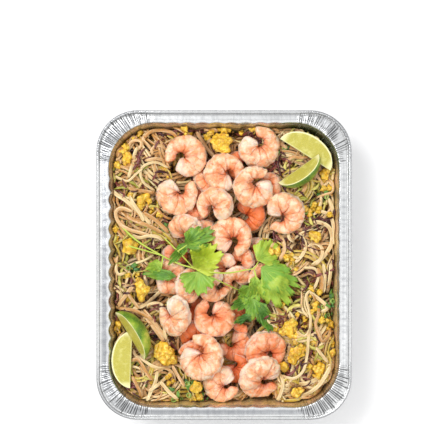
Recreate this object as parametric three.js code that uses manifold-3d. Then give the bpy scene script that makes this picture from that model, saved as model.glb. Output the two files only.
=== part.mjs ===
// Shrimp pad thai in a half-size foil catering pan: a heap of rice noodles with curled
// shrimp down the middle, soft egg, lime wedges at two corners and sprigs of coriander leaf.
//
// Units are millimetres. +X runs across the pan, +Y along it and +Z up. The origin is on
// the underside of the pan, in the middle of it.
//
// Every topping is laid as it would come to rest: a height map holds what is in the pan so
// far, and each new piece is tilted and nudged a little until its middle lies lowest.

import * as THREE from 'three';
import { mergeVertices } from 'three/addons/utils/BufferGeometryUtils.js';
import Module from 'manifold-3d';

const wasm = await Module();
wasm.setup();

// ---------------------------------------------------------------- driving dimensions

const PAN = {
  width: 264,
  length: 320,
  depth: 64,
  rimWidth: 13,
  cornerRadius: 60,
  // The rim's outer edge turns tighter than the opening, so the rim is broader at its corners.
  rimCorner: 43,
  taper: 12.5,
  foil: 0.5,
  bead: 3.2,
  pleatsPerCorner: 7,
  pleatDepth: 0.5,
  flutesPerSide: 5,
  flutePitch: 15,
  fluteDepth: 1.1,
  footRadius: 1.8,
};

const BED = {
  middleHeight: 33,
  flankHeight: 50,
  wallHeight: 49,
  flankReach: 84,
  endReach: 110,
  unevenness: 1.6,
  limeHollow: 6,
  limeHollowReach: 38,
  wallGap: 1.8,
  floorGap: 0.3,
  pointsPerSide: 5,
  pointsPerCorner: 5,
};

const NOODLE = {
  width: 4.6,
  thickness: 2,
  step: 8.5,
  steps: 11,
  columns: 5,
  rows: 6,
  tries: 8,
  sink: 0.4,
  arch: 1.4,
  archesPerStep: 1.9,
  loopRadius: 19,
  shortest: 34,
  fromWall: 12,
};

const GARNISH_BITS = { count: 10, size: 2.6, fromWall: 6 };

const SHRIMP = {
  sides: 6,
  segments: 9,
  curlRadius: 21.5,
  bodyRadius: 9.1,
  flatness: 0.86,
  tailTaper: 0.52,
  taperFrom: 0.45,
  bluntEnd: 0.72,
  roundedEnd: 0.42,
  tuckedIn: 0.64,
  tuckLength: 0.34,
  curlOut: 1.04,
  pitch: 3,
};

const EGG = { halfHeight: 5, leastLump: 0.78, mostLump: 1.14, fineFrom: 20 };

// The sector is the angle in degrees between a wedge's two cut faces.
const LIME = { halfLength: 29.5, radius: 20.5, sector: 52, pointedness: 0.12, sides: 16, stacks: 10 };

const SPRIG = {
  stemWidth: 2.1,
  stemStep: 14,
  leafThickness: 0.9,
  leafPoints: 12,
  lobes: 4,
  lobeDepth: 0.12,
  broadLeaf: 32,
  wave: 1.2,
  softness: 4,
};

// How a piece settles: how far it may lean (degrees) and shift to lie lower, and what
// each millimetre of shift and each degree of lean has to gain it in height.
const SETTLE = {
  shrimp: { lean: 38, shift: 4 },
  egg: { lean: 24, shift: 3 },
  lime: { lean: 6, shift: 1 },
  gainForShift: 0.25,
  gainForLean: 0.03,
};

const REST_GAP = 0.32;
const CELL = 1;
const MERGE = 2e-3;

// ---------------------------------------------------------------- colours

const COLOURS = {
  foil: 0xc9cbcd,
  noodles: 0xd9bf8f,
  shrimp: 0xf0a987,
  lime: 0xb9c24a,
  egg: 0xe9b93a,
  leaf: 0x7ba838,
};

// ---------------------------------------------------------------- what lies where

// Shrimp: the middle of the curl, the bearing of the thick end in degrees, the way the
// body turns from there (1 is anticlockwise), how far it turns, and the curl's outer radius.
// They are listed in the order in which they are laid, the lowest first.
const SHRIMPS = [
  { x: 20, y: 106, thick: 100, turn: 1, sweep: 250, radius: 18.5 },
  { x: 46, y: 82, thick: 90, turn: -1, sweep: 250, radius: 19.5 },
  { x: -32, y: 64, thick: 200, turn: 1, sweep: 260, radius: 19 },
  { x: -15, y: 85, thick: 120, turn: 1, sweep: 230, radius: 18 },
  { x: 25, y: 54, thick: 140, turn: -1, sweep: 290, radius: 20 },
  { x: 30, y: 18, thick: 70, turn: -1, sweep: 250, radius: 18 },
  { x: -54, y: 14, thick: 150, turn: 1, sweep: 240, radius: 16.5 },
  { x: -34, y: -44, thick: 40, turn: -1, sweep: 260, radius: 18 },
  { x: -28, y: -72, thick: 0, turn: 1, sweep: 250, radius: 20 },
  { x: 10, y: -83, thick: 80, turn: -1, sweep: 250, radius: 20 },
  { x: 11, y: -105, thick: 200, turn: 1, sweep: 240, radius: 18 },
  { x: 23, y: -60, thick: 10, turn: 1, sweep: 260, radius: 19 },
  { x: 48, y: -38, thick: 330, turn: 1, sweep: 260, radius: 16 },
  { x: -36, y: -93, thick: 330, turn: 1, sweep: 185, radius: 20 },
  { x: 22, y: 2, thick: 330, turn: 1, sweep: 230, radius: 16 },
  { x: -24, y: 30, thick: 185, turn: -1, sweep: 270, radius: 19 },
  { x: -42, y: 115, thick: 246, turn: 1, sweep: 305, radius: 24 },
  { x: -49, y: 76, thick: 128, turn: 1, sweep: 264, radius: 24 },
  { x: 5, y: 94, thick: 290, turn: -1, sweep: 300, radius: 23 },
  { x: 32, y: 125, thick: 150, turn: 1, sweep: 305, radius: 24 },
  { x: 33, y: 83, thick: 5, turn: -1, sweep: 308, radius: 24 },
  { x: 59, y: 54, thick: 172, turn: -1, sweep: 300, radius: 23.5 },
  { x: 8, y: 26, thick: 236, turn: -1, sweep: 302, radius: 23.5 },
  { x: -7, y: 59, thick: 300, turn: 1, sweep: 280, radius: 21.5 },
  { x: -38, y: 31, thick: 186, turn: -1, sweep: 255, radius: 24 },
  { x: 5, y: 0, thick: 40, turn: 1, sweep: 295, radius: 18 },
  { x: 13, y: -17, thick: 320, turn: 1, sweep: 270, radius: 17 },
  { x: -59, y: -9, thick: 205, turn: 1, sweep: 300, radius: 20.5 },
  { x: -34, y: -18, thick: 292, turn: -1, sweep: 250, radius: 21 },
  { x: -10, y: -18, thick: 60, turn: 1, sweep: 270, radius: 20 },
  { x: 38, y: -18, thick: 300, turn: 1, sweep: 240, radius: 21.5 },
  { x: -9, y: -51, thick: 70, turn: -1, sweep: 305, radius: 23.5 },
  { x: -50, y: -48, thick: 110, turn: -1, sweep: 306, radius: 22, girth: 1.16, stretch: 1.2 },
  { x: 40, y: -92, thick: 240, turn: -1, sweep: 300, radius: 24 },
  { x: 1, y: -125, thick: 42, turn: 1, sweep: 300, radius: 21, girth: 1.1 },
  { x: -21, y: -92, thick: 165, turn: 1, sweep: 300, radius: 26 },
  { x: 38, y: -115, thick: 8, turn: 1, sweep: 308, radius: 26 },
];

// Lime wedges: the middle of the cut edge, the bearing in which that edge runs, the slope
// of the upper cut face, and which side of the edge (1 is to its left) the flesh lies on.
const LIMES = [
  { x: 84, y: 114, bearing: -32, slope: 2, side: 1, scale: 1.04 },
  { x: 77, y: 100, bearing: 35.5, slope: 48, side: -1, scale: 0.86 },
  { x: -97, y: -98, bearing: 88, slope: 3, side: 1, scale: 1 },
  { x: -98, y: -74, bearing: -58.5, slope: 66, side: 1, scale: 0.97 },
];

// Pieces of soft egg: middle, length, breadth and bearing.
const EGGS = [
  { x: -1, y: 125, length: 27, breadth: 23, bearing: 60 },
  { x: -64, y: -93, length: 31, breadth: 25, bearing: -25 },
  { x: -97, y: 19, length: 21, breadth: 18, bearing: 20 },
  { x: -85, y: -26, length: 24, breadth: 15, bearing: 80 },
  { x: -26, y: -123, length: 17, breadth: 15, bearing: 100 },
  { x: 65, y: -68, length: 23, breadth: 17, bearing: 60 },
  { x: 94, y: 29, length: 18, breadth: 14, bearing: -10 },
  { x: 106, y: 95, length: 16, breadth: 13, bearing: -60 },
  { x: 74, y: -94, length: 22, breadth: 16, bearing: 50 },
  { x: 76, y: -132, length: 19, breadth: 15, bearing: 10 },
  { x: -85, y: 69, length: 16, breadth: 13, bearing: 35 },
  { x: -101, y: 110, length: 17, breadth: 12, bearing: 75 },
  { x: 94, y: -44, length: 15, breadth: 9, bearing: 85 },
  { x: 99, y: -108, length: 20, breadth: 15, bearing: 50 },
  { x: 64, y: -108, length: 14, breadth: 10, bearing: 85 },
];

// Sprigs of coriander leaf: stems as routes over the food, and leaves by the place of the
// stalk, bearing, length, breadth and how deeply they fold along the midrib.
const SPRIGS = [
  {
    stems: [
      [[-107, 40], [-87, 23], [-63, 9], [-35, -3], [-25, -9], [1, -23], [17, -31]],
      [[-99, 20], [-82, 15], [-64, 9.5]],
      [[-24, -9], [1, -8], [30, -5], [37, 2]],
      [[31, -5], [39, -3], [47, -9]],
      [[30, -5], [29, -14], [27, -24]],
      [[-63, 9], [-65, 1], [-64, -6]],
    ],
    leaves: [
      { x: 35, y: 1, bearing: 42, length: 29, breadth: 27, fold: 0.1 },
      { x: 41, y: -3, bearing: -40, length: 46, breadth: 42, fold: 0.05 },
      { x: 30, y: -8, bearing: -104, length: 31, breadth: 22, fold: 0.25 },
      { x: 24, y: -31, bearing: -122, length: 25, breadth: 21, fold: 0.2 },
      { x: 32, y: -32, bearing: -70, length: 39, breadth: 19, fold: 0.3 },
      { x: 24, y: -44, bearing: -155, length: 22, breadth: 13, fold: 0.2 },
      { x: -23, y: -8, bearing: -108, length: 25, breadth: 30, fold: 0.1 },
      { x: -52, y: -9, bearing: 178, length: 33, breadth: 13, fold: 0.5 },
    ],
  },
  {
    stems: [
      [[-103, 52], [-79, 38], [-63, 28], [-46, 18], [-38, 18]],
      [[-48, 17], [-39, 7], [-30, -4]],
    ],
    leaves: [
      { x: -44, y: 19, bearing: 220, length: 20, breadth: 12, fold: 0.5 },
      { x: -46, y: 17, bearing: 22, length: 39, breadth: 20, fold: 0.35 },
      { x: -36, y: 3, bearing: 16, length: 33, breadth: 29, fold: 0.12 },
    ],
  },
];

// ---------------------------------------------------------------- small helpers

const degrees = THREE.MathUtils.degToRad;
const clamp = THREE.MathUtils.clamp;
const lerp = THREE.MathUtils.lerp;
const smooth = THREE.MathUtils.smoothstep;

/** A seeded source of numbers from 0 to 1, the same on every run. */
function seededRandom(seed) {
  let state = seed;
  return () => {
    state = (state + 0x6d2b79f5) | 0;
    let value = Math.imul(state ^ (state >>> 15), 1 | state);
    value = (value + Math.imul(value ^ (value >>> 7), 61 | value)) ^ value;
    return ((value ^ (value >>> 14)) >>> 0) / 4294967296;
  };
}

/** A smooth bump of height 1 at the middle that fades out at the reach. */
function bump(x, y, middle, reach) {
  const distance = Math.hypot(x - middle.x, y - middle.y) / reach;
  return distance < 1 ? (1 - distance * distance) ** 2 : 0;
}

/** The volume that a closed geometry holds, negative when it is inside out. */
function signedVolume(geometry) {
  const index = geometry.index.array;
  const points = geometry.attributes.position;
  const a = new THREE.Vector3();
  const b = new THREE.Vector3();
  const c = new THREE.Vector3();
  let volume = 0;
  for (let i = 0; i < index.length; i += 3) {
    a.fromBufferAttribute(points, index[i]);
    b.fromBufferAttribute(points, index[i + 1]);
    c.fromBufferAttribute(points, index[i + 2]);
    volume += a.dot(b.cross(c)) / 6;
  }
  return volume;
}

/** Shared corners only, without faces that have shrunk away, and the faces turned outwards. */
function asClosedSurface(geometry, tolerance = MERGE) {
  const bare = geometry.clone();
  bare.deleteAttribute('normal');
  bare.deleteAttribute('uv');
  const merged = mergeVertices(bare, tolerance);
  const flip = signedVolume(merged) < 0;
  const index = merged.index.array;
  const kept = [];
  for (let i = 0; i < index.length; i += 3) {
    const [a, b, c] = index.slice(i, i + 3);
    if (a === b || b === c || c === a) continue;
    kept.push(...(flip ? [b, a, c] : [a, b, c]));
  }
  merged.setIndex(kept);
  return merged;
}

function toSolid(geometry) {
  const closed = asClosedSurface(geometry);
  return new wasm.Manifold(new wasm.Mesh({
    numProp: 3,
    vertProperties: Float32Array.from(closed.attributes.position.array),
    triVerts: Uint32Array.from(closed.index.array),
  }));
}

function toGeometry(solid) {
  const mesh = solid.getMesh();
  const geometry = new THREE.BufferGeometry();
  geometry.setAttribute('position', new THREE.BufferAttribute(mesh.vertProperties, 3));
  geometry.setIndex(new THREE.BufferAttribute(mesh.triVerts, 1));
  return geometry;
}

/** The piece of a geometry that holds most, without sealed hollows and loose scraps. */
function largestShell(geometry) {
  const index = geometry.index.array;
  const owner = Array.from({ length: geometry.attributes.position.count }, (_, i) => i);
  const find = (i) => {
    while (owner[i] !== i) {
      owner[i] = owner[owner[i]];
      i = owner[i];
    }
    return i;
  };
  for (let i = 0; i < index.length; i += 3) {
    owner[find(index[i])] = find(index[i + 1]);
    owner[find(index[i + 1])] = find(index[i + 2]);
  }
  const shells = new Map();
  for (let i = 0; i < index.length; i += 3) {
    const key = find(index[i]);
    if (!shells.has(key)) shells.set(key, []);
    shells.get(key).push(index[i], index[i + 1], index[i + 2]);
  }
  let best = null;
  for (const corners of shells.values()) {
    const shell = new THREE.BufferGeometry();
    shell.setAttribute('position', geometry.attributes.position);
    shell.setIndex(corners);
    if (!best || signedVolume(shell) > signedVolume(best)) best = shell;
  }
  return asClosedSurface(best);
}

/** Joins closed geometries that run into each other. */
function fuse(geometries) {
  const solids = geometries.map(toSolid);
  const whole = solids.reduce((sum, solid) => sum.add(solid));
  return largestShell(toGeometry(whole));
}

/** A closed geometry from rings of points, each ring as long as the next. */
function loftRings(rings, startCap, endCap) {
  const sides = rings[0].length;
  const points = [...rings.flat(), startCap, endCap];
  const index = [];
  for (let r = 0; r < rings.length - 1; r += 1) {
    for (let s = 0; s < sides; s += 1) {
      const next = (s + 1) % sides;
      const a = r * sides + s;
      const b = r * sides + next;
      index.push(a, b, a + sides, b, b + sides, a + sides);
    }
  }
  const lastRing = (rings.length - 1) * sides;
  const start = rings.length * sides;
  for (let s = 0; s < sides; s += 1) {
    const next = (s + 1) % sides;
    index.push(start, next, s);
    index.push(start + 1, lastRing + s, lastRing + next);
  }
  const geometry = new THREE.BufferGeometry().setFromPoints(points);
  geometry.setIndex(index);
  return asClosedSurface(geometry);
}

// ---------------------------------------------------------------- height map

/** What stands highest, or hangs lowest, over each cell of the pan. */
class HeightMap {
  constructor(empty) {
    this.columns = Math.ceil(PAN.width / CELL) + 2;
    this.rows = Math.ceil(PAN.length / CELL) + 2;
    this.empty = empty;
    this.cells = new Float32Array(this.columns * this.rows).fill(empty);
  }

  column(x) {
    return clamp(Math.floor((x + PAN.width / 2) / CELL) + 1, 0, this.columns - 1);
  }

  row(y) {
    return clamp(Math.floor((y + PAN.length / 2) / CELL) + 1, 0, this.rows - 1);
  }

  at(x, y) {
    return this.cells[this.row(y) * this.columns + this.column(x)];
  }

  /** Calls visit(cell, height) for each cell that a face of the geometry passes over. */
  scan(geometry, visit) {
    const index = geometry.index.array;
    const p = geometry.attributes.position.array;
    for (let i = 0; i < index.length; i += 3) {
      const a = index[i] * 3;
      const b = index[i + 1] * 3;
      const c = index[i + 2] * 3;
      const area = (p[b] - p[a]) * (p[c + 1] - p[a + 1]) - (p[c] - p[a]) * (p[b + 1] - p[a + 1]);
      if (Math.abs(area) < 1e-6) continue;
      const lastColumn = this.column(Math.max(p[a], p[b], p[c]));
      const lastRow = this.row(Math.max(p[a + 1], p[b + 1], p[c + 1]));
      const firstRow = this.row(Math.min(p[a + 1], p[b + 1], p[c + 1]));
      for (let col = this.column(Math.min(p[a], p[b], p[c])); col <= lastColumn; col += 1) {
        for (let row = firstRow; row <= lastRow; row += 1) {
          const x = (col - 0.5) * CELL - PAN.width / 2;
          const y = (row - 0.5) * CELL - PAN.length / 2;
          const v = ((x - p[a]) * (p[c + 1] - p[a + 1]) - (p[c] - p[a]) * (y - p[a + 1])) / area;
          const w = ((p[b] - p[a]) * (y - p[a + 1]) - (x - p[a]) * (p[b + 1] - p[a + 1])) / area;
          if (v < -1e-6 || w < -1e-6 || v + w > 1 + 1e-6) continue;
          const height = p[a + 2] + v * (p[b + 2] - p[a + 2]) + w * (p[c + 2] - p[a + 2]);
          visit(row * this.columns + col, height);
        }
      }
    }
  }

  /** Takes in the top of a geometry. */
  raise(geometry) {
    this.scan(geometry, (cell, height) => {
      if (height > this.cells[cell]) this.cells[cell] = height;
    });
    return this;
  }

  /** Takes in the underside of a geometry. */
  lower(geometry) {
    this.scan(geometry, (cell, height) => {
      if (height < this.cells[cell]) this.cells[cell] = height;
    });
    return this;
  }

  /** A copy in which each cell holds the best of the cells around it. */
  spread(reach, better) {
    const across = new HeightMap(this.empty);
    const copy = new HeightMap(this.empty);
    for (const [from, to, stride] of [[this, across, 1], [across, copy, this.columns]]) {
      for (let cell = 0; cell < from.cells.length; cell += 1) {
        let best = from.cells[cell];
        for (let offset = -reach; offset <= reach; offset += 1) {
          const value = from.cells[cell + offset * stride];
          if (value !== undefined) best = better(best, value);
        }
        to.cells[cell] = best;
      }
    }
    return copy;
  }

  /** A copy in which each cell holds the mean of the cells around it. */
  blurred(reach) {
    const across = new HeightMap(this.empty);
    const copy = new HeightMap(this.empty);
    for (const [from, to, stride] of [[this, across, 1], [across, copy, this.columns]]) {
      for (let cell = 0; cell < from.cells.length; cell += 1) {
        let sum = 0;
        for (let offset = -reach; offset <= reach; offset += 1) {
          sum += from.cells[cell + offset * stride] ?? from.cells[cell];
        }
        to.cells[cell] = sum / (2 * reach + 1);
      }
    }
    return copy;
  }
}

/** How far a geometry has to rise to lie just clear of the padded height map. */
function riseToClear(geometry, padded) {
  const underside = new Map();
  padded.scan(geometry, (cell, height) => {
    if (!(underside.get(cell) <= height)) underside.set(cell, height);
  });
  let rise = -Infinity;
  for (const [cell, height] of underside) {
    rise = Math.max(rise, padded.cells[cell] - height);
  }
  return rise + REST_GAP;
}

function centroid(geometry) {
  const p = geometry.attributes.position;
  const middle = new THREE.Vector3();
  for (let i = 0; i < p.count; i += 1) {
    middle.add(new THREE.Vector3().fromBufferAttribute(p, i));
  }
  return middle.divideScalar(p.count);
}

/** Lays a piece down at (x, y): it leans and shifts a little until its middle lies lowest. */
function layDown(shape, x, y, ground, { lean, shift }) {
  const padded = ground.spread(1, Math.max);
  const place = (pose) => {
    const turned = shape.clone();
    const tilt = new THREE.Euler(degrees(pose[2]), degrees(pose[3]), 0);
    turned.applyMatrix4(new THREE.Matrix4().makeRotationFromEuler(tilt));
    turned.translate(x + pose[0], y + pose[1], 0);
    const rise = riseToClear(turned, padded);
    turned.translate(0, 0, rise);
    return turned;
  };
  const cost = (geometry, pose) => {
    const strayed = Math.hypot(pose[0], pose[1]);
    const leaned = Math.hypot(pose[2], pose[3]);
    return centroid(geometry).z + SETTLE.gainForShift * strayed + SETTLE.gainForLean * leaned;
  };
  let pose = [0, 0, 0, 0];
  let best = place(pose);
  let bestCost = cost(best, pose);
  for (const [slide, angle] of [[2, 8], [1, 4], [0.5, 2]]) {
    for (let pass = 0; pass < 6; pass += 1) {
      let better = false;
      for (let k = 0; k < 8; k += 1) {
        const trial = [...pose];
        const axis = k >> 1;
        trial[axis] += (k % 2 ? -1 : 1) * (axis < 2 ? slide : angle);
        if (Math.hypot(trial[0], trial[1]) > shift) continue;
        if (Math.hypot(trial[2], trial[3]) > lean) continue;
        const placed = place(trial);
        const placedCost = cost(placed, trial);
        if (placedCost < bestCost - 1e-4) {
          best = placed;
          bestCost = placedCost;
          pose = trial;
          better = true;
        }
      }
      if (!better) break;
    }
  }
  ground.raise(best);
  return best;
}

// ---------------------------------------------------------------- pan

/** Points around a rounded rectangle, anticlockwise, each with the way that faces outward. */
function roundedOutline({ x, y, corner }, perSide, sidePitch, perCorner) {
  const points = [];
  const sides = [
    { bearing: 0, reach: x, run: y - corner },
    { bearing: 90, reach: y, run: x - corner },
    { bearing: 180, reach: x, run: y - corner },
    { bearing: 270, reach: y, run: x - corner },
  ];
  for (const side of sides) {
    const angle = degrees(side.bearing);
    const out = new THREE.Vector2(Math.cos(angle), Math.sin(angle));
    const along = new THREE.Vector2(-out.y, out.x);
    const pitch = sidePitch ?? (2 * side.run) / (perSide + 1);
    for (let i = 0; i < perSide; i += 1) {
      const offset = (i - (perSide - 1) / 2) * pitch;
      const base = out.clone().multiplyScalar(side.reach).addScaledVector(along, offset);
      points.push({ base, out, number: i, onCorner: false });
    }
    const centre = out.clone().multiplyScalar(side.reach - corner).addScaledVector(along, side.run);
    for (let i = 0; i < perCorner; i += 1) {
      const turned = angle + ((Math.PI / 2) * i) / (perCorner - 1);
      const around = new THREE.Vector2(Math.cos(turned), Math.sin(turned));
      const base = centre.clone().addScaledVector(around, corner);
      points.push({ base, out: around, number: i, onCorner: true });
    }
  }
  return points;
}

/** How much broader the rim is than at a side, in a direction from a corner's centre. */
function rimSpread({ x, y }) {
  const less = Math.min(Math.abs(x), Math.abs(y));
  const more = Math.max(Math.abs(x), Math.abs(y));
  const spare = PAN.cornerRadius - PAN.rimCorner;
  if ((less / more) * PAN.cornerRadius < spare) return PAN.cornerRadius / more - PAN.cornerRadius;
  const middle = spare * (less + more);
  return middle + Math.sqrt(middle ** 2 + PAN.rimCorner ** 2 - 2 * spare ** 2) - PAN.cornerRadius;
}

/** Foil pan: floor, tapering fluted walls, flange with pleated corners and rolled edge. */
function makePan() {
  const opening = {
    x: PAN.width / 2 - PAN.rimWidth,
    y: PAN.length / 2 - PAN.rimWidth,
    corner: PAN.cornerRadius - PAN.rimWidth,
  };
  const flutePoints = PAN.flutesPerSide * 2 + 1;
  const pleatPoints = PAN.pleatsPerCorner * 2 + 1;
  const columns = roundedOutline(opening, flutePoints, PAN.flutePitch / 2, pleatPoints);
  const edge = PAN.rimWidth;
  const spreadBy = edge - 5.8;
  // A ring runs a distance outside the opening and shows its share of flutes and pleats.
  const ring = (outward, height, flutes, pleats) => columns.map((column) => {
    const odd = column.number % 2;
    const flute = odd && !column.onCorner ? -PAN.fluteDepth * flutes : 0;
    const pleat = odd && column.onCorner ? -PAN.pleatDepth * pleats : 0;
    const spread = column.onCorner ? rimSpread(column.out) * smooth(outward, 1, spreadBy) : 0;
    const point = column.base.clone().addScaledVector(column.out, outward + flute + spread);
    return new THREE.Vector3(point.x, point.y, height + pleat);
  });
  const floorInset = PAN.taper + PAN.footRadius;
  const top = PAN.depth;
  const rings = [
    ring(-floorInset, PAN.foil, 0, 0),
    ring(-PAN.taper, 2.4, 0.4, 0),
    ring(-0.9, top - 3, 1, 0),
    ring(1, top, 0.3, 0.5),
    ring(spreadBy, top - 0.5, 0, 1),
    ring(edge - 4.2, top - 1.5, 0, 1),
    ring(edge - PAN.bead * 0.6, top - 0.1, 0, 0.5),
    ring(edge, top - PAN.bead * 0.5, 0, 0),
    ring(edge - PAN.bead * 0.6, top - PAN.bead, 0, 0),
    ring(edge - 4.4, top - 2.1, 0, 1),
    ring(1.3, top - 0.8, 0.3, 0.5),
    ring(-0.3, top - 3.4, 1, 0),
    ring(-PAN.taper + PAN.foil, 1.7, 0.4, 0),
    ring(-floorInset, 0, 0, 0),
  ];
  return loftRings(rings, new THREE.Vector3(0, 0, PAN.foil), new THREE.Vector3(0, 0, 0));
}

/** Half the pan's inside, across and along, at a height above the table. */
function insideReach(height) {
  const inset = PAN.taper * (1 - (height - 2) / (PAN.depth - 4));
  return {
    x: PAN.width / 2 - PAN.rimWidth - inset,
    y: PAN.length / 2 - PAN.rimWidth - inset,
    corner: PAN.cornerRadius - PAN.rimWidth - inset,
  };
}

/** How far a point stands inside the wall of the pan at a height. */
function marginToWall(x, y, height) {
  const reach = insideReach(height);
  const dx = Math.abs(x) - (reach.x - reach.corner);
  const dy = Math.abs(y) - (reach.y - reach.corner);
  const outside = Math.hypot(Math.max(dx, 0), Math.max(dy, 0)) + Math.min(Math.max(dx, dy), 0);
  return reach.corner - outside;
}

// ---------------------------------------------------------------- noodles

/** The bare core's height: low down the middle, mounded along both flanks. */
function coreHeight(x, y) {
  const across = Math.abs(x) / BED.flankReach;
  const flank = smooth(across, 0.45, 0.95);
  const falling = smooth(Math.abs(x), BED.flankReach + 4, BED.flankReach + 30);
  const ends = smooth(Math.abs(y), BED.endReach, BED.endReach + 36);
  let height = lerp(BED.middleHeight, BED.flankHeight, flank);
  height = lerp(height, BED.wallHeight, Math.max(falling, ends * 0.9));
  height += BED.unevenness * Math.sin(x * 0.083 + 1.3) * Math.sin(y * 0.071 + 0.4);
  for (const wedge of LIMES) {
    height -= BED.limeHollow * bump(x, y, wedge, BED.limeHollowReach);
  }
  return height;
}

/** Bare core: stands off the pan's wall and closes over the top in shrinking outlines. */
function makeCore() {
  const ring = (height, scale, heightAt) => {
    const reach = insideReach(height);
    const shape = {
      x: reach.x - BED.wallGap,
      y: reach.y - BED.wallGap,
      corner: reach.corner - BED.wallGap,
    };
    const outline = roundedOutline(shape, BED.pointsPerSide, null, BED.pointsPerCorner);
    return outline.map(({ base: { x, y } }) => (
      new THREE.Vector3(x * scale, y * scale, heightAt(x * scale, y * scale))
    ));
  };
  const floor = PAN.foil + BED.floorGap;
  const shoulder = BED.wallHeight - 3;
  const rings = [
    ring(3, 0.985, () => floor),
    ring(4, 1, () => 4),
    ring(shoulder, 1, () => shoulder),
    ...[0.95, 0.82, 0.66, 0.48, 0.27].map((scale) => ring(shoulder, scale, coreHeight)),
  ];
  const crown = new THREE.Vector3(0, 0, coreHeight(0, 0));
  return loftRings(rings, new THREE.Vector3(0, 0, floor), crown);
}

/** A flat noodle's section: its thickness stands up, its width lies down. */
function noodleSection() {
  const section = new THREE.Shape();
  section.moveTo(-NOODLE.thickness / 2, -NOODLE.width / 2);
  section.lineTo(NOODLE.thickness / 2, -NOODLE.width / 2);
  section.lineTo(NOODLE.thickness / 2, NOODLE.width / 2);
  section.lineTo(-NOODLE.thickness / 2, NOODLE.width / 2);
  section.closePath();
  return section;
}

/** A noodle's loop over the food, stopped where a wall or a topping leaves no room. */
function noodleRoute(start, random, ground, ceiling) {
  const highest = ground.spread(2, Math.max);
  const lowest = ceiling.spread(3, Math.min);
  const route = [];
  let heading = random() * Math.PI * 2;
  const turn = (random() < 0.5 ? -1 : 1) / lerp(0.7, 1.5, random()) / NOODLE.loopRadius;
  let { x, y } = start;
  for (let i = 0; i <= NOODLE.steps; i += 1) {
    const arch = NOODLE.arch * (1 - Math.cos(i * NOODLE.archesPerStep));
    const z = highest.at(x, y) + NOODLE.thickness / 2 - NOODLE.sink + arch;
    const room = lowest.at(x, y) - z - NOODLE.thickness;
    if (room < REST_GAP || marginToWall(x, y, z) < NOODLE.width + 1) break;
    route.push(new THREE.Vector3(x, y, z));
    heading += turn * NOODLE.step * lerp(0.5, 1.5, random());
    x += Math.cos(heading) * NOODLE.step;
    y += Math.sin(heading) * NOODLE.step;
  }
  return route;
}

/** Noodles that show, one begun in each square of the pan that has room for it. */
function makeNoodles(ground, ceiling) {
  const random = seededRandom(71);
  const margin = PAN.rimWidth + NOODLE.fromWall;
  const squareWidth = (PAN.width - 2 * margin) / NOODLE.columns;
  const squareLength = (PAN.length - 2 * margin) / NOODLE.rows;
  const noodles = [];
  const begin = (column, row) => {
    const start = {
      x: (column + random() - NOODLE.columns / 2) * squareWidth,
      y: (row + random() - NOODLE.rows / 2) * squareLength,
    };
    const route = noodleRoute(start, random, ground, ceiling);
    if ((route.length - 1) * NOODLE.step < NOODLE.shortest) return false;
    const noodle = asClosedSurface(new THREE.ExtrudeGeometry(noodleSection(), {
      extrudePath: new THREE.CatmullRomCurve3(route),
      steps: route.length - 1,
      bevelEnabled: false,
    }));
    ground.raise(noodle);
    noodles.push(noodle);
    return true;
  };
  for (let column = 0; column < NOODLE.columns; column += 1) {
    for (let row = 0; row < NOODLE.rows; row += 1) {
      for (let tries = 0; tries < NOODLE.tries && !begin(column, row); tries += 1);
    }
  }
  return noodles;
}

/** Crumbs of nut and cut spring onion that lie on the noodles. */
function makeGarnishBits(ground, ceiling) {
  const random = seededRandom(19);
  const lowest = ceiling.spread(3, Math.min);
  const bits = [];
  while (bits.length < GARNISH_BITS.count) {
    const x = (random() - 0.5) * (PAN.width - 2 * PAN.rimWidth);
    const y = (random() - 0.5) * (PAN.length - 2 * PAN.rimWidth);
    const size = GARNISH_BITS.size * lerp(0.75, 1.25, random());
    const z = ground.at(x, y);
    if (marginToWall(x, y, z) < GARNISH_BITS.fromWall) continue;
    if (lowest.at(x, y) - z < size * 2) continue;
    const bit = new THREE.IcosahedronGeometry(size, 0);
    bit.scale(1.3, 0.9, 0.7);
    bit.rotateZ(random() * Math.PI);
    bit.translate(x, y, z + size * 0.2);
    bits.push(asClosedSurface(bit));
  }
  return bits;
}

// ---------------------------------------------------------------- toppings

/** Half the body's breadth along a shrimp, from the thick end (0) to the tail (1). */
function shrimpBreadth(along) {
  const body = SHRIMP.bodyRadius * (1 - SHRIMP.tailTaper * smooth(along, SHRIMP.taperFrom, 1));
  const atThickEnd = along < 0.5 / SHRIMP.segments;
  return body * (atThickEnd ? SHRIMP.bluntEnd : 1);
}

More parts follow.
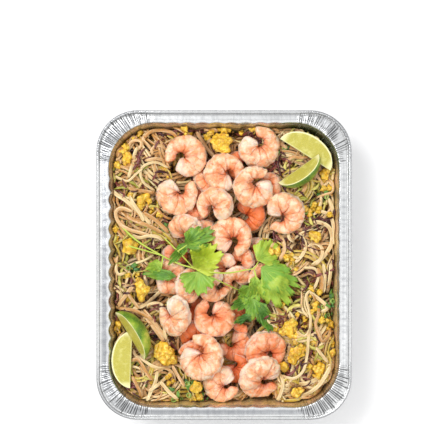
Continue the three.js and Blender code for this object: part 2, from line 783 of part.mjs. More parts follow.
/** A peeled shrimp lying flat: it curls round with its thick end tucked into the ring. */
function makeShrimp({ thick, turn, sweep, radius, girth = 1, stretch = 1 }) {
  const size = (radius / SHRIMP.curlRadius) * girth;
  const geometry = new THREE.CylinderGeometry(1, 1, 1, SHRIMP.sides, SHRIMP.segments);
  const p = geometry.attributes.position;
  for (let i = 0; i < p.count; i += 1) {
    const along = 0.5 - p.getY(i);
    const rim = Math.hypot(p.getX(i), p.getZ(i));
    const around = Math.atan2(p.getX(i), p.getZ(i));
    const angle = degrees(thick + turn * sweep * along);
    const outward = new THREE.Vector3(Math.cos(angle), Math.sin(angle), 0);
    const forward = new THREE.Vector3(-outward.y, outward.x, 0).multiplyScalar(turn);
    const breadth = shrimpBreadth(along) * size;
    const curl = radius - shrimpBreadth(0.3) * size;
    const spiral = lerp(SHRIMP.tuckedIn, SHRIMP.curlOut, smooth(along, 0, SHRIMP.tuckLength));
    const middle = outward.clone().multiplyScalar(curl * spiral);
    middle.z = (along - 0.5) * SHRIMP.pitch * size;
    const point = middle.addScaledVector(outward, rim * Math.cos(around) * breadth);
    point.z += rim * Math.sin(around) * breadth * SHRIMP.flatness;
    if (rim < 0.5) {
      const nose = along < 0.5 ? -1 : 1;
      point.addScaledVector(forward, nose * breadth * SHRIMP.roundedEnd);
    }
    point.x /= stretch;
    point.y *= stretch;
    p.setXYZ(i, point.x, point.y, point.z);
  }
  return asClosedSurface(geometry);
}

/** A wedge of lime: the fruit's pointed oval, cut twice along its axis. */
function makeLimeWedge({ bearing, slope, side, scale }) {
  const fruit = new THREE.SphereGeometry(1, LIME.sides, LIME.stacks);
  const p = fruit.attributes.position;
  for (let i = 0; i < p.count; i += 1) {
    const along = p.getY(i);
    const girth = LIME.radius * (1 - LIME.pointedness * along ** 6);
    p.setXYZ(i, along * LIME.halfLength, p.getX(i) * girth, p.getZ(i) * girth);
  }
  const reach = LIME.radius * 3;
  const half = degrees(LIME.sector / 2);
  const cut = new THREE.Shape();
  cut.moveTo(0, 0);
  cut.lineTo(reach * Math.cos(half), -reach * Math.sin(half));
  cut.lineTo(reach * Math.cos(half), reach * Math.sin(half));
  cut.closePath();
  const length = LIME.halfLength * 3;
  const sector = new THREE.ExtrudeGeometry(cut, { depth: length, bevelEnabled: false });
  sector.translate(0, 0, -length / 2);
  sector.applyMatrix4(new THREE.Matrix4().makeBasis(
    new THREE.Vector3(0, 1, 0),
    new THREE.Vector3(0, 0, 1),
    new THREE.Vector3(1, 0, 0),
  ));
  const wedge = toGeometry(toSolid(fruit).intersect(toSolid(sector)));
  wedge.rotateX(degrees(slope - LIME.sector / 2));
  wedge.scale(scale, scale * side, scale);
  wedge.rotateZ(degrees(bearing));
  return asClosedSurface(wedge);
}

/** A torn piece of soft egg, lumpy and a little flat. */
function makeEgg({ length, breadth, bearing }, number) {
  const fine = length > EGG.fineFrom;
  const ball = fine ? new THREE.IcosahedronGeometry(1, 1) : new THREE.DodecahedronGeometry(1);
  const geometry = asClosedSurface(ball);
  geometry.scale(length / 2, breadth / 2, EGG.halfHeight);
  const random = seededRandom(400 + number);
  const p = geometry.attributes.position;
  for (let i = 0; i < p.count; i += 1) {
    const lump = lerp(EGG.leastLump, EGG.mostLump, random());
    p.setXYZ(i, p.getX(i) * lump, p.getY(i) * lump, p.getZ(i) * lump);
  }
  geometry.rotateZ(degrees(bearing));
  return asClosedSurface(geometry);
}

// ---------------------------------------------------------------- coriander

/** A stem along a route of (x, y) points that lies on the drape. */
function makeStem(route, drape) {
  const half = SPRIG.stemWidth / 2;
  const section = new THREE.Shape();
  section.moveTo(-half, 0);
  section.lineTo(0, -half);
  section.lineTo(half, 0);
  section.lineTo(0, half);
  section.closePath();
  const plan = new THREE.CatmullRomCurve3(route.map(([x, y]) => new THREE.Vector3(x, y, 0)));
  const steps = Math.max(2, Math.round(plan.getLength() / SPRIG.stemStep));
  const laid = plan.getSpacedPoints(steps).map(({ x, y }) => (
    new THREE.Vector3(x, y, drape.at(x, y) + half)
  ));
  const extrudePath = new THREE.CatmullRomCurve3(laid);
  return asClosedSurface(new THREE.ExtrudeGeometry(section, {
    extrudePath,
    steps,
    bevelEnabled: false,
  }));
}

/** A lobed, wavy leaf: upper and lower faces with the same points, a thickness apart. */
function makeLeaf({ x, y, bearing, length, breadth, fold }, drape) {
  const count = SPRIG.leafPoints;
  const along = new THREE.Vector2(Math.cos(degrees(bearing)), Math.sin(degrees(bearing)));
  const across = new THREE.Vector2(-along.y, along.x);
  const ringAt = (share, lift) => {
    const points = [];
    for (let i = 0; i < count; i += 1) {
      const angle = (i / count) * Math.PI * 2;
      const lobes = 1 - SPRIG.lobeDepth * (1 - Math.cos(SPRIG.lobes * angle));
      const u = length * (0.46 + 0.52 * lobes * share * Math.cos(angle));
      const v = breadth * 0.52 * lobes * share * Math.sin(angle) * (1 - 0.3 * fold);
      const px = x + along.x * u + across.x * v;
      const py = y + along.y * u + across.y * v;
      const wave = SPRIG.wave * share * Math.cos(SPRIG.lobes * angle);
      const crease = fold * Math.abs(v);
      points.push(new THREE.Vector3(px, py, drape.at(px, py) + wave + crease + lift));
    }
    return points;
  };
  const middle = ringAt(0, 0)[0];
  const upper = SPRIG.stemWidth / 2 + SPRIG.leafThickness / 2;
  const lower = upper - SPRIG.leafThickness;
  const rings = [ringAt(1, upper), ringAt(1, lower)];
  if (length > SPRIG.broadLeaf) {
    rings.unshift(ringAt(0.55, upper));
    rings.push(ringAt(0.55, lower));
  }
  return loftRings(
    rings,
    middle.clone().setZ(middle.z + upper),
    middle.clone().setZ(middle.z + lower),
  );
}

/** A sprig draped over the food, as one piece, just clear of it. */
function makeSprig({ stems, leaves }, ground) {
  const drape = ground.spread(SPRIG.softness, Math.max).blurred(SPRIG.softness);
  const pieces = [
    ...stems.map((route) => makeStem(route, drape)),
    ...leaves.map((leaf) => makeLeaf(leaf, drape)),
  ];
  const sprig = fuse(pieces);
  sprig.translate(0, 0, riseToClear(sprig, ground.spread(1, Math.max)));
  ground.raise(sprig);
  return sprig;
}

// ---------------------------------------------------------------- the dish

const FINISHES = {
  foil: { color: COLOURS.foil, roughness: 0.32, metalness: 1 },
  noodles: { color: COLOURS.noodles, roughness: 0.42, metalness: 0 },
  shrimp: { color: COLOURS.shrimp, roughness: 0.38, metalness: 0 },
  lime: { color: COLOURS.lime, roughness: 0.45, metalness: 0 },
  egg: { color: COLOURS.egg, roughness: 0.5, metalness: 0 },
  leaf: { color: COLOURS.leaf, roughness: 0.5, metalness: 0 },
};

const dish = new THREE.Group();

function addPiece(name, geometry, finish) {
  const mesh = new THREE.Mesh(geometry, new THREE.MeshStandardMaterial(FINISHES[finish]));
  mesh.name = name;
  dish.add(mesh);
}

const numbered = (kind, i) => `${kind}_${String(i + 1).padStart(2, '0')}`;

const pan = makePan();
const core = makeCore();
const ground = new HeightMap(-1).raise(pan).raise(core);
const toppings = [];

SHRIMPS.forEach((shrimp, i) => {
  const laid = layDown(makeShrimp(shrimp), shrimp.x, shrimp.y, ground, SETTLE.shrimp);
  toppings.push([numbered('shrimp', i), laid, 'shrimp']);
});
EGGS.forEach((egg, i) => {
  const laid = layDown(makeEgg(egg, i), egg.x, egg.y, ground, SETTLE.egg);
  toppings.push([numbered('egg', i), laid, 'egg']);
});
LIMES.forEach((lime, i) => {
  const laid = layDown(makeLimeWedge(lime), lime.x, lime.y, ground, SETTLE.lime);
  toppings.push([numbered('lime', i), laid, 'lime']);
});
SPRIGS.forEach((sprig, i) => {
  toppings.push([numbered('coriander', i), makeSprig(sprig, ground), 'leaf']);
});

const ceiling = new HeightMap(PAN.depth * 2);
for (const [, geometry] of toppings) ceiling.lower(geometry);
const bedTop = new HeightMap(-1).raise(core);
const noodles = makeNoodles(bedTop, ceiling);
const bits = makeGarnishBits(bedTop, ceiling);

addPiece('pan', pan, 'foil');
addPiece('noodle_bed', fuse([core, ...noodles, ...bits]), 'noodles');
for (const [name, geometry, finish] of toppings) addPiece(name, geometry, finish);

export default dish;
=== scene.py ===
"""Shrimp pad thai in a half-size foil catering pan, dressed over its solid model.

The foil pan, the heap of rice noodles with what is cooked into it, the curled shrimp,
the soft egg, the lime wedges and the coriander each have a class of their own. Lengths
are millimetres inside the classes and become metres when a mesh is made.
"""

from __future__ import annotations

import logging
import math
from dataclasses import dataclass
from enum import Enum
from functools import partialmethod
from typing import Any, ClassVar, Iterable, Mapping, Sequence

import bpy
import numpy as np
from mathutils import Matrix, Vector, noise
from mathutils.bvhtree import BVHTree

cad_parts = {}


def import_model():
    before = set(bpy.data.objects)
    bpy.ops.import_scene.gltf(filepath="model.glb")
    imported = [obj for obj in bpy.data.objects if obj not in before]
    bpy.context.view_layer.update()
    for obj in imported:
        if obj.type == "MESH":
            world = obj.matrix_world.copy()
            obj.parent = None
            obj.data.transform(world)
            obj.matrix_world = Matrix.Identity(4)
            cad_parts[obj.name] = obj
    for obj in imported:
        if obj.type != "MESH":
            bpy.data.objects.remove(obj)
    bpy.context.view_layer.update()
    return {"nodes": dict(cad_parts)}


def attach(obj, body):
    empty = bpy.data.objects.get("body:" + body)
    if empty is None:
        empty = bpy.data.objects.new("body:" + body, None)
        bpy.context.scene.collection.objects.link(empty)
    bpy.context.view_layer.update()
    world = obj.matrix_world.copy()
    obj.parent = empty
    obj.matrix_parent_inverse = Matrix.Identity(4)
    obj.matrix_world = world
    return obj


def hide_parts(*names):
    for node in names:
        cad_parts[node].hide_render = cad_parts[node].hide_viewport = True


LOG = logging.getLogger("pad_thai")
MM = 0.001
Colour = tuple[float, float, float, float]
Pair = tuple[float, float]
Array = np.ndarray
Piece = bpy.types.Object
Nodes = Mapping[str, Piece]
Material = bpy.types.Material
Socket = bpy.types.NodeSocket


def srgb(code: int) -> Colour:
    """A screen's colour, as 0xRRGGBB, in the linear numbers that shaders take."""
    shares = [part / 255 for part in code.to_bytes(3, "big")]
    linear = [c / 12.92 if c <= 0.04045 else ((c + 0.055) / 1.055) ** 2.4 for c in shares]
    return (*linear, 1.0)


def ease(values: Any, start: float, end: float) -> Any:
    """A smooth step from 0 at start to 1 at end."""
    share = np.clip((np.asarray(values, float) - start) / (end - start), 0, 1)
    return share * share * (3 - 2 * share)


def cloud(*axes: Any) -> Array:
    """Smooth noise from -1 to 1 at places."""
    return np.array([noise.noise(Vector(place)) for place in np.broadcast(*axes)])


def directions(line: Array) -> Array:
    """The unit direction of a line at each of its points."""
    along = np.gradient(line, axis=0)
    return along / (np.linalg.norm(along, axis=1)[:, None] + 1e-9)


def beside(plan: Array) -> Array:
    """The direction square to a route at each of its points."""
    along = directions(plan)
    return np.column_stack([-along[:, 1], along[:, 0]])


def carried_on(knots: Array) -> Array:
    """Knots with one more at either end, in line with the last two."""
    return np.concatenate([[2 * knots[0] - knots[1]], knots, [2 * knots[-1] - knots[-2]]])


def between_knots(a: Any, b: Any, c: Any, d: Any, t: Any) -> Any:
    """The smooth curve through four knots, from b (t = 0) to c."""
    return 0.5 * (
        2 * b + (c - a) * t + (2 * a - 5 * b + 4 * c - d) * t**2 + (3 * b - a - 3 * c + d) * t**3
    )


# ---- shader maths


class Value:
    """A number that changes over a surface, held by a shader socket."""

    def __init__(self, paint: Paint, socket: Socket) -> None:
        """Keeps the socket and its paint."""
        self.paint = paint
        self.socket = socket

    def _math(self, operation: str, other: Value | float, turned: bool = False) -> Value:
        """An operation on this value and another, or turned round."""
        terms = {int(turned): self, int(not turned): other}
        return Value(self.paint, self.paint.node("Math", {"operation": operation}, terms).outputs[0])

    __add__ = __radd__ = partialmethod(_math, "ADD")
    __mul__ = __rmul__ = partialmethod(_math, "MULTIPLY")
    __sub__ = partialmethod(_math, "SUBTRACT")
    __rsub__ = partialmethod(_math, "SUBTRACT", turned=True)
    larger = partialmethod(_math, "MAXIMUM")

    def off_whole(self) -> Value:
        """How far this value is from the nearest whole number."""
        return self._math("PINGPONG", 0.5)

    def between(self, low: float, high: float, least: float = 0.0, most: float = 1.0) -> Value:
        """A smooth step from least at low to most at high."""
        sockets = {0: self, 1: low, 2: high, 3: least, 4: most}
        node = self.paint.node("MapRange", {"interpolation_type": "SMOOTHSTEP"}, sockets)
        return Value(self.paint, node.outputs[0])


class Paint:
    """The node tree of one material, or of the surroundings."""

    def __init__(self, name: str, kind: str = "materials", shader: str = "Principled BSDF") -> None:
        """Starts a material with its shader."""
        self.material = getattr(bpy.data, kind).new(name)
        self.material.use_nodes = True
        self.tree = self.material.node_tree
        self.shader = self.tree.nodes[shader]
        self.place = self.node("TexCoord").outputs["Object"]
        self.base: Any = None

    def node(
        self, kind: str, settings: Mapping | None = None, sockets: Mapping | None = None
    ) -> bpy.types.Node:
        """Adds a node.

        Args:
            kind: The node's type, without ShaderNode before it.
            settings: Its own settings.
            sockets: Values or links for its inputs, by name or number.

        Returns:
            The node.
        """
        node = self.tree.nodes.new(f"ShaderNode{kind}")
        for name, setting in (settings or {}).items():
            setattr(node, name, setting)
        for name, value in (sockets or {}).items():
            self.feed(node.inputs[name], value)
        return node

    def feed(self, socket: Socket, value: Any) -> None:
        """Links or sets an input."""
        if isinstance(value, (Value, Socket)):
            self.tree.links.new(getattr(value, "socket", value), socket)
        else:
            socket.default_value = value

    def over(self, mask: Value | float, colour: Any) -> None:
        """Lays a colour over the base where the mask is 1."""
        self.base = self.mix(mask, self.base, colour)

    def shade(self, coat: Sequence = (), flesh: Sequence = (), **sockets: Any) -> Material:
        """Feeds the shader and ends the paint.

        Args:
            coat: The clear coat's weight and roughness.
            flesh: The subsurface weight and radii.
            sockets: Other inputs, with _ for a space in their names.

        Returns:
            The material.
        """
        sockets |= dict(zip(("Coat_Weight", "Coat_Roughness"), coat))
        sockets |= dict(zip(("Subsurface_Weight", "Subsurface_Radius"), flesh))
        for name, value in {"Base_Color": self.base, **sockets}.items():
            self.feed(self.shader.inputs[name.replace("_", " ")], value)
        return self.material

    def mark(self, name: str) -> Value:
        """The number that the mesh carries under a name at each point."""
        node = self.node("Attribute", {"attribute_name": name})
        return Value(self, node.outputs["Fac"])

    def noise(self, size: float, detail: float = 3, place: Any = None, **extra: float) -> Value:
        """Cloudy noise from 0 to 1 in lumps of that size."""
        sockets = {"Vector": place or self.place, "Scale": 1 / (size * MM), "Detail": detail}
        node = self.node("TexNoise", None, {**sockets, **extra})
        return Value(self, node.outputs[0])

    def streaks(self, size: float, x: float, y: float, place: Any, detail: float = 2) -> Value:
        """Noise in lumps of that size, on coordinates multiplied by x and y."""
        return self.noise(size, detail, self.stretched(x, y, 1, place))

    def cells(self, size: float, place: Any = None, feature: str = "F1") -> Value:
        """Distance within cells that are size millimetres across."""
        node = self.node(
            "TexVoronoi", {"feature": feature},
            {"Vector": place or self.place, "Scale": 1 / (size * MM)},
        )
        return Value(self, node.outputs["Distance"])

    def ribs(self, place: Any, pitch: float) -> Value:
        """Ribs across the first axis, from 0 to 1."""
        node = self.node(
            "TexWave", {"wave_type": "BANDS", "bands_direction": "X"},
            {"Vector": place, "Scale": 0.314 / (pitch * MM), "Distortion": 1.2, "Detail": 1.0},
        )
        return Value(self, node.outputs["Fac"])

    def stretched(self, x: float, y: float, z: float, place: Any = None) -> Socket:
        """Coordinates multiplied along each axis."""
        node = self.node(
            "VectorMath", {"operation": "MULTIPLY"}, {0: place or self.place, 1: (x, y, z)}
        )
        return node.outputs[0]

    def bent(self, amount: float, size: float) -> Socket:
        """Coordinates pushed about by up to amount, in swirls of that size."""
        swirl = self.node(
            "TexNoise", None, {"Vector": self.place, "Scale": 1 / (size * MM), "Detail": 2}
        )
        push = self.node(
            "VectorMath", {"operation": "MULTIPLY_ADD"},
            {0: swirl.outputs["Color"], 1: (2 * amount * MM,) * 3, 2: self.place},
        )
        return push.outputs[0]

    def along_surface(self, length: float, breadth: float) -> Socket:
        """The piece's UV map in metres."""
        node = self.node("UVMap", {"uv_map": "UVMap"})
        return self.stretched(length * MM, breadth * MM, 1, node.outputs[0])

    def mix(self, mask: Value | float, under: Any, over: Any) -> Socket:
        """One colour where the mask is 0 and another where it is 1."""
        node = self.node("Mix", {"data_type": "RGBA"}, {0: mask, 6: under, 7: over})
        return node.outputs[2]

    def relief(self, height: Value, depth: float, strength: float = 1.0) -> Socket:
        """A normal bumped by a height from 0 to 1, depth high."""
        node = self.node("Bump", None, {"Height": height, "Distance": depth * MM, "Strength": strength})
        return node.outputs["Normal"]


# ---- finishes


@dataclass(frozen=True)
class FoilFinish:
    """Bright rolled foil: ribbed across its rim, filmed with sauce inside, with painted shade in its
    folds, crimps and groove and side by side round the rim, and painted light and reflections of the
    food and the lime on the inner wall.
    """

    colour: Colour = srgb(0xE1E2E2)
    wear_and_shade: Colour = srgb(0x989A9E)
    shade: Colour = srgb(0x343230)
    # The sauce film's golden colour also stands in for the reflection of the food.
    sauce: Colour = srgb(0xFCDA92)
    stain: Colour = srgb(0x9E7032)
    # Pink and olive streaks are painted reflections of the food in the inner wall.
    pink: Colour = srgb(0xF4BEA0)
    olive: Colour = srgb(0x745C26)
    # A painted reflection of the lime rind in the inner wall.
    green: Colour = srgb(0x3C541E)
    run: float = 1060

    def material(self) -> Material:
        """Builds the material."""
        paint = Paint("bright_foil")
        surface = paint.along_surface(self.run, 60)
        ribs = paint.ribs(surface, 2.9) * paint.mark("ribbed")
        ticks = paint.streaks(1.5, 1, 0.1, surface)
        rolled = paint.streaks(2.0, 0.01, 1, surface)
        dents = paint.noise(9, 2)
        dull = paint.noise(4, 3).between(0.35, 0.75)
        fold = paint.mark("fold")
        film = paint.mark("film") * paint.noise(6, 3).between(0.05, 0.45)
        paint.base = paint.mix(dull * 0.15 + ticks.between(0.46, 0.7) * 0.25, self.colour, self.wear_and_shade)
        paint.over(ribs.between(0.5, 0.95) * 0.35, self.wear_and_shade)
        paint.over(rolled.between(0.47, 0.6) * 0.35, self.wear_and_shade)
        # Painted shade, stronger on some sides of the rim than on others, streaked like wear.
        paint.over(paint.mark("painted_side_shade") * (0.5 + ticks * 0.5), self.wear_and_shade)
        crimps = paint.streaks(1.5, 1, 0.35, surface).between(0.44, 0.6)
        crimps = crimps * paint.mark("crimped")
        # Painted shade in the folds and crimps.
        paint.over(fold.between(0.05, 0.45) * 0.62, self.shade)
        paint.over(crimps * 0.4, self.shade)
        # Painted shade along the rim's groove and under its outer edge.
        paint.over(paint.mark("groove") * 0.62, self.shade)
        # Painted light on the inner wall: where it is less lit the sauce stain darkens it as painted
        # shade, and the foil is less metallic.
        lit = paint.mark("lit")
        stain_and_shade = paint.noise(3.5, 4).between(0.42, 0.64) * (1 - lit * 0.7)
        # The sauce film on the inner wall; its golden colour also stands in for the reflection of the
        # food.
        dry, paint.base = paint.base, paint.mix(stain_and_shade, self.sauce, self.stain)
        # Painted reflections of the food in the inner wall: pink streaks where it is lit, dark olive
        # streaks between them.
        painted_reflections = paint.streaks(7, 1, 0.15, surface, 4)
        paint.over(painted_reflections.between(0.5, 0.6) * 0.5 * lit, self.pink)
        paint.over((1 - painted_reflections.between(0.38, 0.47)) * 0.6, self.olive)
        # Painted shade in the folds of the filmed wall.
        paint.over(fold.between(0.08, 0.4) * 0.6, srgb(0x785024))
        # A painted reflection of the lime rind in the inner wall of the back right corner, with a
        # painted highlight on its folds.
        green = paint.mark("green")
        paint.over(green * 0.9, self.green)
        paint.over(fold.between(0.1, 0.4) * green, srgb(0xD6DCBE))
        height = ticks * 0.3 + rolled * 0.35 + ribs * 0.12 + dents * 0.12 - crimps * 0.4
        paint.base = paint.mix(film, dry, paint.base)
        return paint.shade(
            Metallic=1 - film * (0.25 + lit * 0.7), Roughness=0.22 + dull * 0.12,
            Normal=paint.relief(height, 0.3, 0.7),
        )


@dataclass(frozen=True)
class ShrimpFinish:
    """Cooked shrimp: cream flesh, peach plates, orange lines and belly, painted shade in the creases and
    the inner curl, and a painted highlight along the back.
    """

    cream: Colour = srgb(0xFADAB6)
    peach: Colour = srgb(0xF7B686)
    gold: Colour = srgb(0xFACA88)
    orange: Colour = srgb(0xF07834)
    rust: Colour = srgb(0xC65024)
    white: Colour = srgb(0xFDECDA)

    def material(self) -> Material:
        """Builds the material."""
        paint = Paint("cooked_shrimp")
        warmth = paint.mark("warmth")
        inward = paint.mark("inward")
        pleat = paint.mark("pleat")
        clouds = paint.noise(7, 4, paint.bent(3, 5))
        blotches = paint.noise(6, 4, paint.bent(4, 9))
        freckles = paint.noise(2.4, 3, paint.bent(2, 4))
        speckle = paint.noise(1.1, 3)
        plates = paint.mark("phase") + paint.noise(3.5, 3) * 0.44 - 0.22
        seams = (1 - plates.off_whole().between(0.0, 0.05)) * paint.noise(5, 3).between(0.36, 0.5)
        wrinkles = (1 - (plates * 3.3).off_whole().between(0.0, 0.13)) * inward.between(0.25, 0.7)
        wrinkles = wrinkles * paint.noise(4, 2).between(0.46, 0.6)
        plated = paint.mark("plated")
        cells = paint.cells(8, paint.bent(5, 5), "DISTANCE_TO_EDGE")
        network = (1 - cells.between(0.0, 0.05)) * paint.noise(8, 2).between(0.44, 0.58)
        paint.base = paint.mix(clouds.between(0.42, 0.56), self.cream, self.peach)
        paint.over(freckles.between(0.5, 0.66) * 0.35, self.gold)
        paint.over(inward.between(0.1, 0.9) * (0.08 + warmth * 0.28), self.orange)
        flush = blotches.between(0.47, 0.62) * (0.1 + warmth * 0.75)
        paint.over(flush * 0.65, self.orange)
        paint.over(pleat * (0.1 + warmth * 0.4), self.orange)
        paint.over(warmth.between(0.65, 1.2) * 0.9, self.orange)
        pale = (1 - blotches.between(0.3, 0.5)) * (1 - warmth * 0.7)
        paint.over(pale * 0.6, self.white)
        # The crease mark paints shade in the segment creases; seams, wrinkles and the network are the
        # flesh's own orange lines.
        crease = paint.mark("crease") * speckle.between(0.2, 0.6) * 0.4
        lines = crease.larger(network * 0.7).larger(seams.larger(wrinkles * 0.9) * plated)
        paint.over(lines * (0.42 + warmth * 0.35), self.rust)
        # Painted shade, in rust, on the innermost side of the curl.
        belly = inward.between(0.74, 1.0) * (0.3 + warmth * 0.4)
        paint.over(belly, self.rust)
        # A painted highlight along the outer back of the curl.
        paint.over(paint.mark("rim") * freckles.between(0.2, 0.5) * 0.85, self.white)
        white_end = paint.mark("cut_end") * clouds.between(0.3, 0.5) * (1.25 - warmth)
        paint.over(white_end, self.white)
        height = clouds * 0.5 + blotches * 0.4 + speckle * 0.25 - lines * 0.5
        return paint.shade(
            Roughness=0.3 + speckle * 0.25, Normal=paint.relief(height, 0.75, 0.8),
            flesh=(0.3, (0.004, 0.002, 0.001)), coat=(0.12, 0.18),
        )


@dataclass(frozen=True)
class NoodleFinish:
    """Moist rice noodle: cream to tan by strand, darkened by sauce low down, with painted shade under
    the toppings and down each ribbon's middle and a painted highlight along its edges.
    """

    cream: Colour = srgb(0xF2DAA2)
    tan: Colour = srgb(0xCC944C)
    pink: Colour = srgb(0xE6BA80)
    olive: Colour = srgb(0xD0B63A)
    sauce: Colour = srgb(0x70360A)
    # A lighter cream for streaks, also the painted highlight along each ribbon's edges.
    edge: Colour = srgb(0xFAECC8)

    def material(self) -> Material:
        """Builds the material."""
        paint = Paint("rice_noodle")
        tint = paint.mark("tint")
        side = paint.mark("side")
        paint.base = paint.mix(tint.between(0.0, 0.5), self.cream, self.pink)
        paint.over(tint.between(0.5, 1.0), self.tan)
        paint.over(tint.between(1.15, 1.4), self.olive)
        stain = paint.noise(14, 4).between(0.5, 0.78)
        paint.over(stain * (0.08 + tint * 0.3), self.sauce)
        streak = paint.noise(2.2, 4)
        paint.over(streak.between(0.45, 0.8) * 0.35, self.edge)
        # A painted highlight along each ribbon's edges and painted shade down the middle of its flat
        # faces.
        paint.over(side.between(0.5, 1.0) * 0.4, self.edge)
        paint.over((1 - side.between(0.1, 0.7)) * 0.3, srgb(0xA4621E))
        # Sauce deep in the heap, and painted shade on noodles under the toppings.
        soaked_and_shaded = paint.mark("soaked_and_shaded") * (0.5 + stain * 0.5)
        paint.over(soaked_and_shaded, self.sauce)
        return paint.shade(
            Roughness=0.26 + streak * 0.25,
            Normal=paint.relief(streak * 0.6 + paint.noise(0.7, 2) * 0.2, 0.35, 0.6),
            flesh=(0.1, (0.003, 0.002, 0.001)), coat=(0.3 - soaked_and_shaded * 0.25, 0.15),
        )


@dataclass(frozen=True)
class BitFinish:
    """A small ingredient, light and dark by piece and by patch."""

    name: str
    light: Colour
    dark: Colour
    patch: float = 3.0
    roughness: float = 0.35
    depth: float = 0.3

    def material(self) -> Material:
        """Builds the material."""
        paint = Paint(self.name)
        tint = paint.mark("tint")
        patches = paint.noise(self.patch, 4)
        shade = (tint * 0.7 + patches.between(0.35, 0.7) * 0.5)
        grain = paint.noise(self.patch / 4, 3)
        return paint.shade(
            Base_Color=paint.mix(shade, self.light, self.dark),
            Roughness=self.roughness + grain * 0.2,
            Normal=paint.relief(patches + grain * 0.4, self.depth, 0.7), coat=(0.2, 0.2),
        )


@dataclass(frozen=True)
class PackedFinish:
    """Noodles packed deep in the heap, painted dark with sauce and shade."""

    noodle: Colour = srgb(0xBE8438)
    sauce: Colour = srgb(0x3A1E04)
    purple: Colour = srgb(0x582012)

    def material(self) -> Material:
        """Builds the material."""
        paint = Paint("packed_noodles_in_shade")
        swirled = paint.bent(14, 26)
        crossed = paint.bent(11, 19)
        strands = paint.streaks(2.2, 1, 0.14, swirled)
        others = paint.streaks(2.4, 0.16, 1, crossed)
        seen = strands.between(0.46, 0.62).larger(others.between(0.5, 0.64) * 0.8)
        # Painted shade: deep sauce brown and purple between the strands that show.
        deep = paint.mix(paint.noise(9, 3).between(0.5, 0.65), self.sauce, self.purple)
        return paint.shade(
            Base_Color=paint.mix(seen * 0.8, deep, self.noodle), Roughness=0.3 + others * 0.2,
            Normal=paint.relief(seen, 1.2, 0.9), coat=(0.1, 0.2),
        )


@dataclass(frozen=True)
class EggFinish:
    """Soft scrambled egg: yellow curds with browned spots, painted pale highlights on the folds and
    painted olive shade in patches.
    """

    yolk: Colour = srgb(0xF0C034)
    pale: Colour = srgb(0xFAE268)
    brown: Colour = srgb(0xCE8824)
    olive: Colour = srgb(0xA0701A)

    def material(self) -> Material:
        """Builds the material."""
        paint = Paint("soft_egg")
        curds = paint.noise(5, 5, Distortion=0.8)
        paint.base = paint.mix(curds.between(0.48, 0.6), self.yolk, self.pale)
        browned = paint.noise(5, 4).between(0.5, 0.6)
        paint.over(browned * 0.6, self.brown)
        shadowed = paint.noise(3.6, 3, paint.bent(3, 6)).between(0.53, 0.6)
        paint.over(shadowed * 0.45, self.olive)
        # Painted pale highlights on the folds.
        folds = paint.noise(2.6, 3, Distortion=1.5)
        paint.over(folds.between(0.56, 0.74) * 0.6, self.pale)
        pores = paint.cells(1.6)
        return paint.shade(
            Roughness=0.38 + curds * 0.2,
            Normal=paint.relief(curds + folds * 0.4 + pores * 0.3, 0.8, 0.8),
            flesh=(0.08, (0.004, 0.003, 0.001)), coat=(0.15, 0.25),
        )


@dataclass(frozen=True)
class LimeFleshFinish:
    """Wet lime flesh: fine sacs that run out from the core to a pale rim."""

    flesh: Colour = srgb(0xD3C554)
    deep: Colour = srgb(0xACA82C)
    pith: Colour = srgb(0xF6F2BA)

    def material(self) -> Material:
        """Builds the material."""
        paint = Paint("lime_flesh")
        rim = paint.mark("pith")
        node = paint.node("UVMap", {"uv_map": "UVMap"})
        fan = paint.stretched(0.0045, 0.03, 1, node.outputs[0])
        sacs = paint.noise(0.16, 4, fan)
        wet_sheen = paint.noise(5, 3)
        paint.base = paint.mix(sacs.between(0.38, 0.62), self.deep, self.flesh)
        # A painted sheen of juice: lighter patches on the flesh.
        paint.over(wet_sheen.between(0.48, 0.72) * 0.4, srgb(0xECE892))
        paint.over(rim, self.pith)
        return paint.shade(
            Roughness=0.22 + sacs * 0.25, Normal=paint.relief(sacs, 0.4, 0.6),
            flesh=(0.15, (0.004, 0.004, 0.001)), coat=(0.35, 0.1),
        )


@dataclass(frozen=True)
class LimeRindFinish:
    """Glossy green rind with fine pores, yellower in patches."""

    green: Colour = srgb(0x86AC2C)
    deep: Colour = srgb(0x487C20)
    yellow: Colour = srgb(0xCCD258)

    def material(self) -> Material:
        """Builds the material."""
        paint = Paint("lime_rind")
        patches = paint.noise(16, 3)
        pores = paint.cells(1.3)
        paint.base = paint.mix(patches.between(0.36, 0.58), self.deep, self.green)
        paint.over(patches.between(0.54, 0.72), self.yellow)
        paint.over(pores.between(0.45, 0.8) * 0.25, self.yellow)
        return paint.shade(
            Roughness=0.3 + pores * 0.15, Normal=paint.relief(1 - pores, 0.25, 0.5), coat=(0.4, 0.12)
        )


@dataclass(frozen=True)
class LeafFinish:
    """Coriander leaf: bright to dark green by leaf, with lighter veins."""

    bright: Colour = srgb(0xC4D446)
    middle: Colour = srgb(0x7AAC36)
    dark: Colour = srgb(0x2E6C28)
    vein: Colour = srgb(0xCEDC70)

    def material(self) -> Material:
        """Builds the material."""
        paint = Paint("coriander_leaf")
        tint = paint.mark("tint")
        vein = paint.mark("vein")
        edge = paint.mark("edge")
        patches = paint.noise(6, 4)
        paint.base = paint.mix((tint + patches * 0.5 - 0.25).between(0.0, 0.5), self.bright, self.middle)
        paint.over((tint + patches * 0.4 - 0.2).between(0.5, 1.0), self.dark)
        paint.over(edge * patches.between(0.4, 0.7) * 0.5, self.bright)
        paint.over(vein * 0.25, self.vein)
        cells = paint.cells(0.8)
        return paint.shade(
            Roughness=0.36 + patches * 0.15,
            Normal=paint.relief(vein * 0.5 + cells * 0.3 + patches * 0.7, 0.4, 0.8),
            flesh=(0.1, (0.001, 0.003, 0.001)), coat=(0.1, 0.25),
        )


